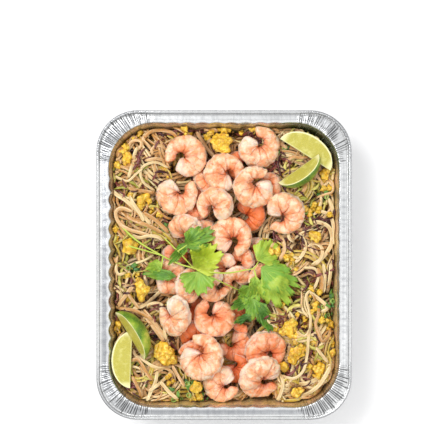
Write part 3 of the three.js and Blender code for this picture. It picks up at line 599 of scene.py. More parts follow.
@dataclass(frozen=True)
class FloorFinish:
    """A plain pale floor."""

    colour: Colour = (0.93, 0.93, 0.935, 1.0)

    def material(self) -> Material:
        """Builds the material."""
        paint = Paint("pale_floor")
        soft = paint.noise(60, 2)
        paint.base = paint.mix(soft * 0.04, self.colour, (0.88, 0.88, 0.88, 1.0))
        return paint.shade(Roughness=0.85, Emission_Color=(1, 1, 1, 1), Emission_Strength=0.06)


# ---- modelling bench


class Bench:
    """Starts, shapes and finishes pieces with Blender's own operators."""

    @staticmethod
    def clear() -> None:
        """Deselects everything."""
        bpy.ops.object.select_all(action="DESELECT")

    @classmethod
    def alone(cls, *pieces: Piece) -> None:
        """Selects pieces and nothing else, the first of them active."""
        cls.clear()
        for piece in pieces:
            piece.select_set(True)
        bpy.context.view_layer.objects.active = pieces[0]

    @classmethod
    def grid(cls, name: str, columns: int, rows: int) -> Piece:
        """A flat grid from 0 to 1 each way, to be rolled into a piece."""
        cls.clear()
        bpy.ops.mesh.primitive_grid_add(
            x_subdivisions=columns, y_subdivisions=rows, size=1, location=(0, 0, 0)
        )
        piece = bpy.context.object
        piece.name = piece.data.name = name
        points = cls.points(piece)
        points[:, :2] += 0.5
        cls.move_points(piece, points)
        return piece

    @classmethod
    def ball(cls, name: str, detail: int, radius: float) -> Piece:
        """A ball of triangles, to be worked into a lump."""
        cls.clear()
        bpy.ops.mesh.primitive_ico_sphere_add(subdivisions=detail, radius=radius * MM)
        piece = bpy.context.object
        piece.name = piece.data.name = name
        return piece

    @classmethod
    def copy_of(cls, source: Piece, name: str) -> Piece:
        """A copy with a mesh of its own, selected alone."""
        piece = bpy.data.objects.new(name, source.data.copy())
        piece.data.name = name
        bpy.context.scene.collection.objects.link(piece)
        cls.alone(piece)
        return piece

    @staticmethod
    def points(piece: Piece) -> Array:
        """The places of a piece's points, in metres."""
        found = np.empty(len(piece.data.vertices) * 3)
        piece.data.vertices.foreach_get("co", found)
        return found.reshape(-1, 3)

    @staticmethod
    def move_points(piece: Piece, points: Array) -> None:
        """Puts a piece's points somewhere else."""
        piece.data.vertices.foreach_set("co", np.asarray(points, float).ravel())
        piece.data.update()

    @staticmethod
    def mark(piece: Piece, **values: Any) -> None:
        """Keeps numbers at each point for the finish to read."""
        count = len(piece.data.vertices)
        for name, numbers in values.items():
            layer = piece.data.attributes.new(name, "FLOAT", "POINT")
            layer.data.foreach_set("value", np.full(count, numbers, np.float32))

    @classmethod
    def weld(cls, piece: Piece, distance: float = 0.01) -> None:
        """Merges points at seams and poles, and turns the faces outwards."""
        cls.alone(piece)
        bpy.ops.object.mode_set(mode="EDIT")
        bpy.ops.mesh.select_all(action="SELECT")
        bpy.ops.mesh.remove_doubles(threshold=distance * MM)
        bpy.ops.mesh.normals_make_consistent(inside=False)
        bpy.ops.object.mode_set(mode="OBJECT")

    @classmethod
    def modify(cls, piece: Piece, kind: str, **settings: Any) -> None:
        """Adds a modifier with its settings and applies it."""
        cls.alone(piece)
        modifier = piece.modifiers.new(kind.title(), kind)
        for name, value in settings.items():
            setattr(modifier, name, value)
        bpy.ops.object.modifier_apply(modifier=modifier.name)

    @classmethod
    def from_faces(cls, name: str, points: Array, faces: Iterable[Sequence[int]]) -> Piece:
        """A piece from its points in millimetres and its faces."""
        mesh = bpy.data.meshes.new(name)
        mesh.from_pydata((np.asarray(points) * MM).tolist(), [], list(faces))
        mesh.update()
        piece = bpy.data.objects.new(name, mesh)
        bpy.context.scene.collection.objects.link(piece)
        return piece

    @staticmethod
    def finish(piece: Piece, slot: str, material: Material, *nodes: str, smooth: bool = True) -> None:
        """Gives a piece its finish and its place in the part.

        Args:
            piece: The piece.
            slot: The record's material slot it belongs to; not used.
            material: Its finish.
            nodes: The solids it stands for.
            smooth: Whether its faces are shaded smooth.
        """
        if not piece.data.materials:
            piece.data.materials.append(material)
        piece.data.polygons.foreach_set("use_smooth", [smooth] * len(piece.data.polygons))
        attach(piece, "root")
        if nodes:
            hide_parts(*nodes)
        LOG.info("%s: %d faces", piece.name, len(piece.data.polygons))


# ---- heights over the pan


@dataclass
class HeightMap:
    """A height in millimetres over each square millimetre of the pan."""

    cells: Array

    HALF_X: ClassVar[int] = 134
    HALF_Y: ClassVar[int] = 162

    @classmethod
    def seen(cls, pieces: Iterable[Piece], empty: float, from_above: bool = True) -> HeightMap:
        """Looks straight down or up at pieces.

        Args:
            pieces: What is looked at.
            empty: The height where nothing is met.
            from_above: Whether it looks down.

        Returns:
            The first height that each line of sight meets.
        """
        points: list[Vector] = []
        faces: list[list[int]] = []
        for piece in pieces:
            first = len(points)
            points += [v.co.copy() for v in piece.data.vertices]
            faces += [[first + i for i in p.vertices] for p in piece.data.polygons]
        tree = BVHTree.FromPolygons(points, faces)
        start, way = (0.3, -1.0) if from_above else (-0.1, 1.0)
        cells = np.full((2 * cls.HALF_Y + 1, 2 * cls.HALF_X + 1), empty, float)
        for row, column in np.ndindex(cells.shape):
            eye = Vector(((column - cls.HALF_X) * MM, (row - cls.HALF_Y) * MM, start))
            met = tree.ray_cast(eye, Vector((0, 0, way)))[0]
            if met is not None:
                cells[row, column] = met.z / MM
        return cls(cells)

    def copy(self) -> HeightMap:
        """A map of its own with the same heights."""
        return HeightMap(self.cells.copy())

    def _index(self, x: Any, y: Any) -> tuple[Array, Array]:
        """The row and column that hold each place."""
        column = np.clip(np.rint(x).astype(int) + self.HALF_X, 0, 2 * self.HALF_X)
        row = np.clip(np.rint(y).astype(int) + self.HALF_Y, 0, 2 * self.HALF_Y)
        return row, column

    def at(self, x: Any, y: Any) -> Array:
        """The heights at places in millimetres."""
        return self.cells[self._index(np.asarray(x, float), np.asarray(y, float))]

    def lift(self, x: Array, y: Array, height: Array) -> None:
        """Raises the map where something higher now lies."""
        np.maximum.at(self.cells, self._index(x, y), height)

    def spread(self, reach: int, better: np.ufunc = np.maximum) -> HeightMap:
        """Each cell takes the highest (or lowest) of those around it."""
        cells = self.cells
        for axis in (0, 1):
            cells = better.reduce([np.roll(cells, w, axis) for w in range(-reach, reach + 1)])
        return HeightMap(cells)

    def blurred(self, reach: int) -> HeightMap:
        """Each cell takes the mean of those around it."""
        cells = self.cells
        for axis in (0, 1):
            cells = sum(np.roll(cells, w, axis) for w in range(-reach, reach + 1)) / (2 * reach + 1)
        return HeightMap(cells)


@dataclass(frozen=True)
class PanShape:
    """Sizes of the foil pan."""

    width: float = 264
    length: float = 320
    depth: float = 64
    rim: float = 13
    corner: float = 60
    # The rim's outer edge turns tighter than the opening, so the rim is broader at its corners.
    rim_corner: float = 43
    taper: float = 12.5
    flute_pitch: float = 15.0
    flute_depth: float = 3.0
    # How strongly each side is fluted: right, back, left, front.
    side_flutes: tuple[float, ...] = (0.2, 0.4, 1.0, 0.3)

    def flute(self, offset: Any, run: Any, strength: Any, blunt: float = 1.0) -> Any:
        """How far a flute stands in at an offset from a side's middle."""
        cusp = np.clip((1 - np.abs(np.sin(math.pi * offset / self.flute_pitch))) * blunt, 0, 1)
        return self.flute_depth * strength * ease(run - np.abs(offset), 0, 22) * cusp

    def bulge(self, x: Array, y: Array) -> Array:
        """How far at most the flutes near each place stand in."""
        half_x, half_y = self.width / 2 - self.rim, self.length / 2 - self.rim
        corner = self.corner - self.rim
        aside = half_x - np.abs(x) < half_y - np.abs(y)
        right, back, left, front = self.side_flutes
        across = np.where(x > 0, right, left)
        along = np.where(y > 0, back, front)
        run = np.where(aside, half_y, half_x) - corner
        return self.flute(np.where(aside, y, x), run + 3, np.where(aside, across, along), 2.0)

    def rim_spread(self, way: Array) -> Array:
        """How much broader than at a side the rim is, in each direction."""
        less, more = np.sort(np.abs(way), axis=1).T
        spare = self.corner - self.rim_corner
        middle = spare * (less + more)
        turning = middle + np.sqrt(middle**2 + self.rim_corner**2 - 2 * spare**2)
        return np.where(less / more * self.corner < spare, self.corner / more, turning) - self.corner

    def inside(self, height: Any) -> tuple[Any, Any, Any]:
        """Half the inside each way and its corner radius, at a height."""
        inset = self.taper * (1 - (height - 2) / (self.depth - 4))
        return (
            self.width / 2 - self.rim - inset, self.length / 2 - self.rim - inset,
            self.corner - self.rim - inset,
        )

    def pulled_in(
        self, x: Array, y: Array, height: Any, gap: Any, rounding: float = 0
    ) -> tuple[Array, Array]:
        """Moves places back inside that lie nearer to the wall than the gap.

        Args:
            x: The places across the pan.
            y: The places along it.
            height: How high they lie.
            gap: The least distance from the wall.
            rounding: How much rounder than the wall they keep.

        Returns:
            The places across and along.
        """
        reach_x, reach_y, corner = (size - gap for size in self.inside(height))
        corner = corner + rounding
        middle_x = np.clip(x, corner - reach_x, reach_x - corner)
        middle_y = np.clip(y, corner - reach_y, reach_y - corner)
        away = np.hypot(x - middle_x, y - middle_y)
        share = np.where(away > corner, corner / np.maximum(away, 1e-6), 1)
        return middle_x + (x - middle_x) * share, middle_y + (y - middle_y) * share


# ---- foil pan


@dataclass
class FoilPan:
    """The foil pan: fluted tapering walls, a flange with creased corners, a rolled edge."""

    shape: PanShape = PanShape()
    finish: FoilFinish = FoilFinish()
    side_step: float = 1.6
    corner_points: int = 280
    # The next ones go round from the right side by way of the back, every eighth of a turn.
    # Light painted on the inner wall, side by side.
    wall_light_by_side: tuple[float, ...] = (1.0, 0.3, 1.0, 1.0, 0.95, 0.75, 0.8, 0.8)
    # Shade painted in the rim's groove and under its outer edge, side by side.
    groove_shade_by_side: tuple[float, ...] = (0.35, 0.45, 1.0, 0.35, 0.1, 0.15, 0.0, 0.3)
    edge_shade_by_side: tuple[float, ...] = (0.0, 0.2, 0.2, 0.1, 0.0, 0.8, 1.0, 0.5)
    ribbed_flange: tuple[float, ...] = (1.0, 0.3, 0.5, 0.2, 0.15, 0.3, 0.6, 0.3)
    # Shade painted on the flat of the flange and on the rolled edge, side by side.
    flange_shade_by_side: tuple[float, ...] = (0.0, 0.55, 0.3, 0.75, 1.25, 0.65, 1.1, 0.0)
    bead_shade_by_side: tuple[float, ...] = (0.0, 0.7, 0.2, 0.75, 0.0, 0.75, 0.0, 0.1)
    # For each corner, round from the back right one, where its creases begin and end.
    creases: tuple[tuple[float, float, float, float], ...] = (
        (-8, 3, 2.5, 12), (-2, 3.5, 7.5, 13.5), (-3, 1, 5, 10.5), (-3, 1.5, 6, 11.5)
    )
    # How strongly each corner's edge is crimped, in relief and in painted shade.
    crimped: tuple[float, ...] = (1.0, 1.0, 0.45, 0.6)
    crease_gap: Pair = (1.7, 3.2)
    crease_depth: Pair = (0.4, 1.3)
    foil: float = 0.3

    @staticmethod
    def _round_pan(eighths: Sequence[float], way: Array) -> Array:
        """Reads a value given for each eighth of a turn."""
        turn = np.degrees(np.arctan2(way[:, 1], way[:, 0])) / 45 % 8
        return np.interp(turn, np.arange(9), [*eighths, eighths[0]])

    def outline(self) -> Array:
        """Walks once round the opening.

        Returns:
            For each point its place, its outward direction, how far a flute stands in
            there, how deep a crease is, where it starts and ends, and how far the edge
            is crimped.
        """
        rng = np.random.default_rng(11)
        shape, rows = self.shape, []
        half_x, half_y = shape.width / 2 - shape.rim, shape.length / 2 - shape.rim
        corner = shape.corner - shape.rim
        for turn in range(4):
            angle = turn * math.pi / 2
            normal = np.array([math.cos(angle), math.sin(angle)])
            along = np.array([-normal[1], normal[0]])
            reach, run = (half_x, half_y - corner) if turn % 2 == 0 else (half_y, half_x - corner)
            for offset in np.linspace(-run, run, round(2 * run / self.side_step))[:-1]:
                flute = float(shape.flute(offset, run, shape.side_flutes[turn]))
                rows.append((*(normal * reach + along * offset), *normal, flute, 0, 0, 0, 0))
            centre = normal * (reach - corner) + along * run
            turned = np.linspace(0, math.pi / 2, self.corner_points)[:-1]
            depths = self._creases(turned * shape.corner, self.creases[turn], rng)
            crimped = self.crimped[turn] * ease(0.8 - abs(turned - 0.785), 0, 0.25)
            for share, depth, crimp in zip(turned, depths, crimped):
                way = np.array([math.cos(angle + share), math.sin(angle + share)])
                rows.append((*(centre + way * corner), *way, 0, *depth, crimp))
        return np.array(rows)

    def _creases(self, run: Array, span: Sequence[float], rng: np.random.Generator) -> Array:
        """How the foil is folded along a corner's rim.

        Args:
            run: Distances round the corner.
            span: Between which places a fold begins, and between which it ends.
            rng: Where the folds come from.

        Returns:
            For each distance the nearest fold's depth, its start and its end.
        """
        found = np.zeros((len(run), 3))
        fade = ease(run, -2, 14) * ease(run[-1] - run, -2, 14)
        at = rng.uniform(0.5, 2)
        while at < run[-1]:
            deep = rng.uniform(*self.crease_depth)
            breadth = rng.uniform(0.6, 0.95)
            depth = deep * np.clip(1 - np.abs(run - at) / breadth, 0, 1) * fade
            start = rng.uniform(*span[:2])
            ends = (start, max(start + 3, rng.uniform(*span[2:])))
            deeper = depth > found[:, 0]
            found[deeper] = np.column_stack([depth, *(np.full(len(run), e) for e in ends)])[deeper]
            at += rng.uniform(*self.crease_gap)
        return found

    def section(self) -> list[tuple[float, float, float, float]]:
        """The wall's section from the middle of the floor over the rim and back under.

        Returns:
            Steps of how far outside the opening, how high, and how much of the flutes
            and of the creases shows there.
        """
        low, foil = self.shape.taper, self.foil
        return [
            (-low - 14, 0.5 + foil, 0, 0), (-low - 2.5, 0.5 + foil, 0, 0),
            (-low - 0.8, 1.0 + foil, 0.2, 0), (-low, 2.6, 0.4, 0), (-low * 0.75, 16, 0.8, 0),
            (-low * 0.5, 31, 1, 0.1), (-low * 0.25, 46, 1, 0.6), (-1.7, 56, 1, 0.9),
            (-0.6, 61.2, 1, 1), (-0.1, 62.9, 0.9, 1), (0.7, 63.7, 0.95, 1), (1.7, 63.9, 0.7, 1),
            (3.4, 63.75, 0.25, 1), (3.9, 63.55, 0.1, 1), (6.4, 63.4, 0, 1), (7.4, 63.1, 0, 1),
            (8.3, 62.65, 0, 0.9), (9.1, 62.7, 0, 0.9), (9.8, 63.3, 0, 0.8), (10.6, 63.85, 0, 0.7),
            (11.5, 64.0, 0, 0.6), (12.4, 63.6, 0, 0.6), (13.0, 62.6, 0, 0.5), (12.9, 61.6, 0, 0.4),
            (12.2, 61.0, 0, 0.3), (11.2, 60.9, 0, 0.2), (10.3, 61.4, 0, 0.2), (9.6, 62.0, 0, 0.5),
            (8.9, 61.9, 0, 0.9), (8.0, 61.9, 0, 0.9), (6.9, 62.7, 0, 1), (3.6, 63.2, 0.2, 1),
            (1.6, 63.5, 0.7, 1), (0.95, 63.2, 0.95, 1), (-0.2, 61.2, 1, 1), (-1.35, 56, 1, 0.9),
            (-low * 0.25 + 0.35, 46, 1, 0.6), (-low * 0.5 + 0.35, 31, 1, 0.1),
            (-low * 0.75 + 0.35, 16, 0.8, 0), (-low + 0.35, 2.4, 0.4, 0), (-low - 0.9, 0.3, 0.1, 0),
            (-low - 2.5, 0.0, 0, 0), (-low - 14, 0.0, 0, 0),
        ]

    def build(self) -> None:
        """Rolls a grid round the outline and along the section."""
        walk, section = self.outline(), self.section()
        count, last = len(walk), len(section) + 1
        piece = Bench.grid("foil_pan", count, last)
        flat = Bench.points(piece)
        walk = walk[np.rint(flat[:, 0] * count).astype(int) % count]
        way, flute, depth, start, end, crimped = walk[:, 2:4], *walk[:, 4:].T
        row = np.rint(flat[:, 1] * last).astype(int)
        steps = np.array([(-200, 0.5 + self.foil, 0, 0), *section, (-200, 0, 0, 0)])[row]
        across, height, fluted, creased = steps.T
        spread = self.shape.rim_spread(way) * ease(across, 1.0, 7.2)
        plan = walk[:, :2] + way * (across - fluted * flute + spread)[:, None]
        plan[(row == 0) | (row == last)] = 0
        fold = depth * creased * ease(across - start, -1, 1) * ease(end - across, -1, 2)
        wall = ease(-across, -0.4, 1.2)
        plan -= way * (fold * wall)[:, None]
        height = height - fold * (1 - wall)
        plan -= way * np.where((across > 10) & (fold > 0), fold * 0.5, 0)[:, None]
        flange = (across > 1) & (across < 9.5)
        height += np.where(flange, cloud(*(plan.T / 17), 3.1) * 0.2 - 0.1, 0)
        Bench.move_points(piece, np.column_stack([plan, height]) * MM)
        # Painted shade in the groove and under the outer edge, set side by side.
        groove = np.exp(-(((across - 8.6) / 0.7) ** 2)) * self._round_pan(self.groove_shade_by_side, way)
        edge = np.exp(-(((across - 13.0) / 0.6) ** 2)) * self._round_pan(self.edge_shade_by_side, way)
        level = ease(across, 1.6, 3.0) * ease(7.6 - across, 0, 1.5)
        # Painted shade on the flange and the rolled edge, set side by side.
        painted_side_shade = level * self._round_pan(self.flange_shade_by_side, way)
        painted_side_shade += ease(across, 9.6, 10.4) * self._round_pan(self.bead_shade_by_side, way)
        inner = (row > 0) & (row < 13)
        # Marks for the finish: fold and crimped paint shade in the creases, film is the sauce film that
        # also stands in for the food's reflection, lit is the light painted on each wall, green a
        # painted reflection of the lime.
        Bench.mark(
            piece, fold=np.clip(fold / self.crease_depth[1], 0, 1),
            groove=np.maximum(groove, edge),
            ribbed=level * self._round_pan(self.ribbed_flange, way), painted_side_shade=painted_side_shade,
            crimped=ease(across, 6.5, 8.5) * crimped,
            film=np.where(inner, ease(-across, 0.3, 1.8), 0),
            green=ease(plan[:, 0], 45, 75) * ease(plan[:, 1], 85, 125),
            lit=self._round_pan(self.wall_light_by_side, way),
        )
        Bench.weld(piece)
        Bench.finish(piece, "foil", self.finish.material(), "pan")


# ---- shrimp


@dataclass
class Spine:
    """The middle line of a curled shrimp, with its half breadths."""

    centre: Array
    outward: Array
    upward: Array
    reach: Array
    height: Array

    RINGS: ClassVar[int] = 10
    SIDES: ClassVar[int] = 6

    @classmethod
    def of(cls, node: Piece) -> Spine:
        """Reads the rings of a shrimp's solid, a closed tube with a point at either end.

        Args:
            node: The solid.

        Returns:
            The spine, thick end first.
        """
        copy = Bench.copy_of(node, "spine_of_solid")
        Bench.weld(copy)
        points = Bench.points(copy) / MM
        linked: list[set[int]] = [set() for _ in points]
        for a, b in (edge.vertices for edge in copy.data.edges):
            linked[a].add(b)
            linked[b].add(a)
        bpy.data.objects.remove(copy)
        rings = next(
            rings
            for start in range(len(points))
            if len(linked[start]) == cls.SIDES
            for rings in [cls._layers(start, linked)]
            if [len(r) for r in rings] == [1] + [cls.SIDES] * cls.RINGS + [1]
        )
        loops = [points[sorted(ring)] for ring in rings[1:-1]]
        radii = [np.linalg.norm(loop - loop.mean(0), axis=1).max() for loop in loops]
        if radii[-1] > radii[0]:
            loops.reverse()
        centre = np.array([loop.mean(0) for loop in loops])
        along = np.gradient(centre, axis=0)
        bowed = centre - centre.mean(0)
        normal = np.linalg.svd(bowed)[2][2]
        outward = np.cross(along, normal)
        outward *= np.sign((outward * bowed).sum())
        spine = cls(centre, *(np.zeros((cls.RINGS, 3)) for _ in range(2)), *np.zeros((2, cls.RINGS)))
        for i, loop in enumerate(loops):
            arms = loop - centre[i]
            back = arms[(arms @ outward[i]).argmax()]
            spine.reach[i] = np.linalg.norm(back)
            spine.outward[i] = back / spine.reach[i]
            up = np.linalg.svd(arms)[2][:2]
            up = up - np.outer(up @ spine.outward[i], spine.outward[i])
            up = up[np.linalg.norm(up, axis=1).argmax()]
            up /= np.linalg.norm(up)
            spine.upward[i] = up * np.sign(up @ np.array([0, 0, 1.0]))
            spine.height[i] = np.abs(arms @ up).max() / math.sin(math.pi / 3)
        return spine

    @staticmethod
    def _layers(start: int, linked: list[set[int]]) -> list[set[int]]:
        """The points at each number of steps from the start."""
        layers, seen = [{start}], {start}
        while layers[-1]:
            near = set().union(*(linked[i] for i in layers[-1])) - seen
            seen |= near
            layers.append(near)
        return layers[:-1]

    def at(self, share: Array) -> tuple[Array, ...]:
        """All about the spine at shares from 0 to 1 along it."""
        return tuple(
            self._smooth(knots, share)
            for knots in (self.centre, self.outward, self.upward, self.reach, self.height)
        )

    @staticmethod
    def _smooth(knots: Array, share: Array) -> Array:
        """A smooth curve through evenly spaced knots."""
        last = len(knots) - 1
        padded = carried_on(knots)
        at = np.clip(share, 0, 1) * last
        i = np.minimum(at.astype(int), last - 1)
        t = at - i
        if knots.ndim > 1:
            t = t[:, None]
        return between_knots(*(padded[i + k] for k in range(4)), t)


@dataclass
class ShrimpPile:
    """Peeled cooked shrimp, curled, each over its own solid."""

    finish: ShrimpFinish = ShrimpFinish()
    around: int = 32
    along: int = 140
    plates: int = 6
    pleats: int = 9
    nose_share: float = 0.06
    tail_share: float = 0.05
    slit: float = 0.14
    # How much further the belly reaches into the curl than the solid's.
    fullness: float = 0.22
    # How deep the colour of each is, from pale cream (0) to deep orange (1).
    warmth: tuple[float, ...] = (
        1.1, 0.85, 0.9, 0.8, 1.15, 0.6, 1.0, 1.15, 1.1, 0.9,
        1.15, 1.05, 0.8, 0.95, 0.9, 0.5, 0.55, 0.5, 0.55, 0.4,
        0.5, 0.5, 0.75, 0.45, 0.65, 0.7, 0.75, 0.65, 0.7, 0.45,
        0.5, 0.85, 0.3, 0.9, 0.6, 0.5, 0.68,
    )

    def build(self, nodes: Nodes) -> None:
        """Curls a copy of one straight blank over each solid."""
        blank = Bench.grid("shrimp_blank", self.around, self.along)
        material = self.finish.material()
        for number, warmth in enumerate(self.warmth, 1):
            name = f"shrimp_{number:02d}"
            piece = Bench.copy_of(blank, f"cooked_{name}")
            self._curl(piece, Spine.of(nodes[name]), warmth, number)
            Bench.weld(piece)
            Bench.finish(piece, "shrimp", material, name)
        bpy.data.objects.remove(blank)

    def _curl(self, piece: Piece, spine: Spine, warmth: float, number: int) -> None:
        """Wraps a blank round a spine, with plates, pleats and a slit down the back."""
        flat = Bench.points(piece)
        angle = (flat[:, 0] - 0.5) * math.tau
        share = (flat[:, 1] - self.nose_share) / (1 - self.nose_share - self.tail_share)
        nose = np.clip(flat[:, 1] / self.nose_share, 0, 1) * math.pi / 2
        tail = np.clip((1 - flat[:, 1]) / self.tail_share, 0, 1) * math.pi / 2
        centre, outward, upward, reach, height = spine.at(share)
        along = np.gradient(spine.centre, axis=0)
        first, last = (v / np.linalg.norm(v) for v in (along[0], along[-1]))
        outward, upward = (v / np.linalg.norm(v, axis=1)[:, None] for v in (outward, upward))
        centre = centre - np.outer(np.cos(nose) * spine.reach[0] * 0.42, first)
        centre = centre + np.outer(np.cos(tail) * spine.reach[-1] * 0.5, last)
        closing = np.sin(nose) ** 0.7 * np.sin(tail) ** 0.8

        belly = (1 - np.cos(angle)) / 2
        waver = cloud(angle * 0.9, share * 7, number * 3.3)
        phase = (share - 0.06) / 0.86 * self.plates - 0.3 * belly + 0.5 * waver
        shown = ease(share, 0.02, 0.1) * (1 - ease(share, 0.9, 0.97))
        step = phase - np.floor(phase)
        edge = np.minimum(step, 1 - step)
        groove = np.exp(-((edge / 0.055) ** 2)) * shown
        relief = shown * (0.03 * (1 - (2 * step - 1) ** 2) + 0.035 * step)
        relief = relief - groove * (0.075 + 0.1 * belly**2)
        opened = ease(share, 0.02, 0.1) * (1 - ease(share, 0.55, 0.75))
        relief -= self.slit * np.exp(-((angle / 0.16) ** 2)) * opened
        relief += 0.035 * np.exp(-(((np.abs(angle) - 0.42) / 0.2) ** 2)) * opened

        radial = np.cos(angle) * reach * closing * (1 + self.fullness * belly**2)
        upright = np.sin(angle) * height * closing * (1 - 0.16 * belly**2)
        place = centre + outward * radial[:, None] + upward * upright[:, None]
        seed = Vector((number * 13.7, number * 5.1, number * 2.3))
        pleat = 0.5 + 0.5 * np.sin(share * math.tau * self.pleats + 5 * waver + number)
        inner = ease(belly, 0.3, 0.8) * shown
        relief += (pleat - 0.5) * 0.07 * inner
        lump = np.array([
            noise.noise(Vector(p) / 9 + seed) * 0.14 + noise.noise(Vector(p) / 3.6 + seed) * 0.085
            + noise.noise(Vector(p) / 1.7 + seed) * 0.03
            for p in place
        ])
        grow = (1 + relief + lump)[:, None]
        place = centre + (place - centre) * grow
        Bench.move_points(piece, place * MM)
        # crease paints shade in the segment creases, and rim a highlight along the back.
        crease, rim = np.exp(-((edge / 0.11) ** 2)) * shown, np.exp(-((angle / 0.34) ** 2))
        Bench.mark(piece, warmth=warmth, crease=crease, phase=phase, plated=shown, inward=belly)
        Bench.mark(piece, pleat=(1 - pleat) * inner, rim=rim, cut_end=1 - ease(share, 0.04, 0.18))


# ---- limes and egg


@dataclass
class LimeWedges:
    """Lime wedges: a pointed oval fruit cut twice along its core."""

    flesh: LimeFleshFinish = LimeFleshFinish()
    rind: LimeRindFinish = LimeRindFinish()
    half_length: float = 29.5
    radius: float = 20.5
    pointedness: float = 0.12

    def build(self, nodes: Nodes) -> None:
        """Cuts a wedge for each solid and lays it in the solid's place."""
        flesh, rind = self.flesh.material(), self.rind.material()
        for name in sorted(n for n in nodes if n.startswith("lime_")):
            corner, turn, scale, sector = self._pose(nodes[name])
            piece = self._wedge(f"cut_{name}", sector)
            points = Bench.points(piece) / MM * scale
            Bench.move_points(piece, (points @ turn + corner) * MM)
            Bench.weld(piece, 0.001)
            for material in (rind, flesh):
                piece.data.materials.append(material)
            Bench.finish(piece, "lime", rind, name)

    def _pose(self, node: Piece) -> tuple[Array, Array, float, float]:
        """Finds how a solid wedge lies from its two flat cut faces.

        Args:
            node: The solid.

        Returns:
            The middle of its core edge, its own axes, its scale and the angle it spans.
        """
        points = Bench.points(node) / MM
        areas: list[tuple[Array, float]] = []
        for face in node.data.polygons:
            normal = np.array(face.normal)
            for i, (known, area) in enumerate(areas):
                if known @ normal > 0.9995:
                    areas[i] = (known, area + face.area)
                    break
            else:
                areas.append((normal, face.area))
        first, second = (n for n, _ in sorted(areas, key=lambda pair: -pair[1])[:2])
        if first[2] < second[2]:
            first, second = second, first
        core = np.cross(first, second)
        core /= np.linalg.norm(core)
        out = -(first + second)
        out /= np.linalg.norm(out)
        across = np.cross(core, out)
        if across @ first < 0:
            core, across = -core, -across
        inmost = points @ out
        edge = points[inmost < inmost.min() + 0.05]
        along = edge @ core
        middle = edge[along.argmin()] / 2 + edge[along.argmax()] / 2
        scale = float(along.max() - along.min()) / (2 * self.half_length)
        sector = math.pi - math.acos(float(np.clip(first @ second, -1, 1)))
        return middle, np.array([core, out, across]), scale, sector

    def _wedge(self, name: str, sector: float) -> Piece:
        """A wedge with its core along X and its rind towards +Y."""
        face, arc, rows = 30, 24, 72
        columns = 2 * face + arc
        piece = Bench.grid(name, columns, rows)
        flat = Bench.points(piece)
        column = np.rint(flat[:, 0] * columns)
        along = -np.cos(flat[:, 1] * math.pi)
        girth = self.radius * np.sqrt(1 - along**2) * (1 - self.pointedness * along**6)
        from_core = np.clip(np.minimum(column, columns - column) / face, 0, 1)
        share = 1 - (1 - from_core) ** 1.5
        turn = (0.5 - np.clip((column - face) / arc, 0, 1)) * sector
        on_rind = (column >= face) & (column <= face + arc)
        radius = girth * share
        pores = cloud(along * 26, turn * 18, 1.0)
        radius = radius + np.where(on_rind & (girth > 3), pores * 0.16, 0)
        points = np.column_stack([
            along * self.half_length, radius * np.cos(turn), radius * np.sin(turn)
        ])
        self._fill_sacs(points, radius, girth, turn, on_rind)
        Bench.move_points(piece, points * MM)
        on_cut = ~(on_rind[self._corners(piece)].reshape(-1, 4).all(1))
        piece.data.polygons.foreach_set("material_index", on_cut.astype(int))
        fan = np.column_stack([np.arctan2(points[:, 0], radius + 7), radius / self.radius])
        piece.data.uv_layers["UVMap"].data.foreach_set("uv", fan[self._corners(piece)].ravel())
        pith = np.maximum(1 - ease(girth - radius, 0.9, 2.1), 0.7 * (1 - ease(radius, 0.3, 1.5)))
        pith = np.maximum(pith, 0.85 * ease(np.abs(along), 0.72, 0.95))
        Bench.mark(piece, pith=pith)
        return piece

    @staticmethod
    def _corners(piece: Piece) -> Array:
        """The point at each corner of each face."""
        corners = np.empty(len(piece.data.loops), int)
        piece.data.loops.foreach_get("vertex_index", corners)
        return corners

    @staticmethod
    def _fill_sacs(points: Array, radius: Array, girth: Array, turn: Array, on_rind: Array) -> None:
        """Swells the cut faces where the sacs stand up."""
        fan = np.arctan2(points[:, 0], radius + 7)
        side = np.sign(turn)
        sacs = cloud(fan * 16, radius / 9, side) * 0.35 + cloud(fan * 40, radius / 4, side) * 0.2
        inside = ~on_rind * ease(girth - radius, 0.6, 2.0) * ease(radius, 0.3, 2)
        lift = inside * (sacs + 0.15)
        points[:, 1] -= lift * np.sin(np.abs(turn))
        points[:, 2] += lift * np.cos(turn) * side


@dataclass
class EggPieces:
    """Torn pieces of soft egg, worked up from their solids into curds."""

    finish: EggFinish = EggFinish()
    voxel: float = 1.0

    def build(self, nodes: Nodes) -> None:
        """Remeshes a copy of each solid and raises its curds."""
        material = self.finish.material()
        for number, name in enumerate(sorted(n for n in nodes if n.startswith("egg_"))):
            piece = Bench.copy_of(nodes[name], f"soft_{name}")
            piece.data.materials.clear()
            Bench.weld(piece)
            Bench.modify(piece, "SUBSURF", levels=2, render_levels=2)
            Bench.modify(piece, "REMESH", mode="VOXEL", voxel_size=self.voxel * MM)
            Bench.modify(piece, "SMOOTH", factor=0.8, iterations=3)
            self._curdle(piece, number)
            Bench.finish(piece, "egg", material, name)

    def _curdle(self, piece: Piece, number: int) -> None:
        """Swells and folds the surface along its own normals."""
        points = Bench.points(piece)
        normals = np.array([v.normal for v in piece.data.vertices])
        seed = Vector((number * 3.1, number * 7.7, 1.9))
        swell = []
        for point in points:
            at = Vector(point) / MM
            curd = abs(noise.noise(at / 7 + seed))
            torn = noise.noise(at / 9 + seed * 2)
            angle = noise.noise(at / 4.2 + seed * 3)
            crumb = abs(noise.noise(at / 2.3 + seed))
            swell.append(-0.8 + curd * 2.6 + torn * 4.6 + angle * 2.8 + crumb * 0.4)
        Bench.move_points(piece, points + normals * np.array(swell)[:, None] * MM)


# ---- coriander


@dataclass(frozen=True)
class Leaf:
    """One leaf: its stalk point, bearing, sizes, fold and tint."""

    x: float
    y: float
    bearing: float
    length: float
    breadth: float
    fold: float
    tint: float


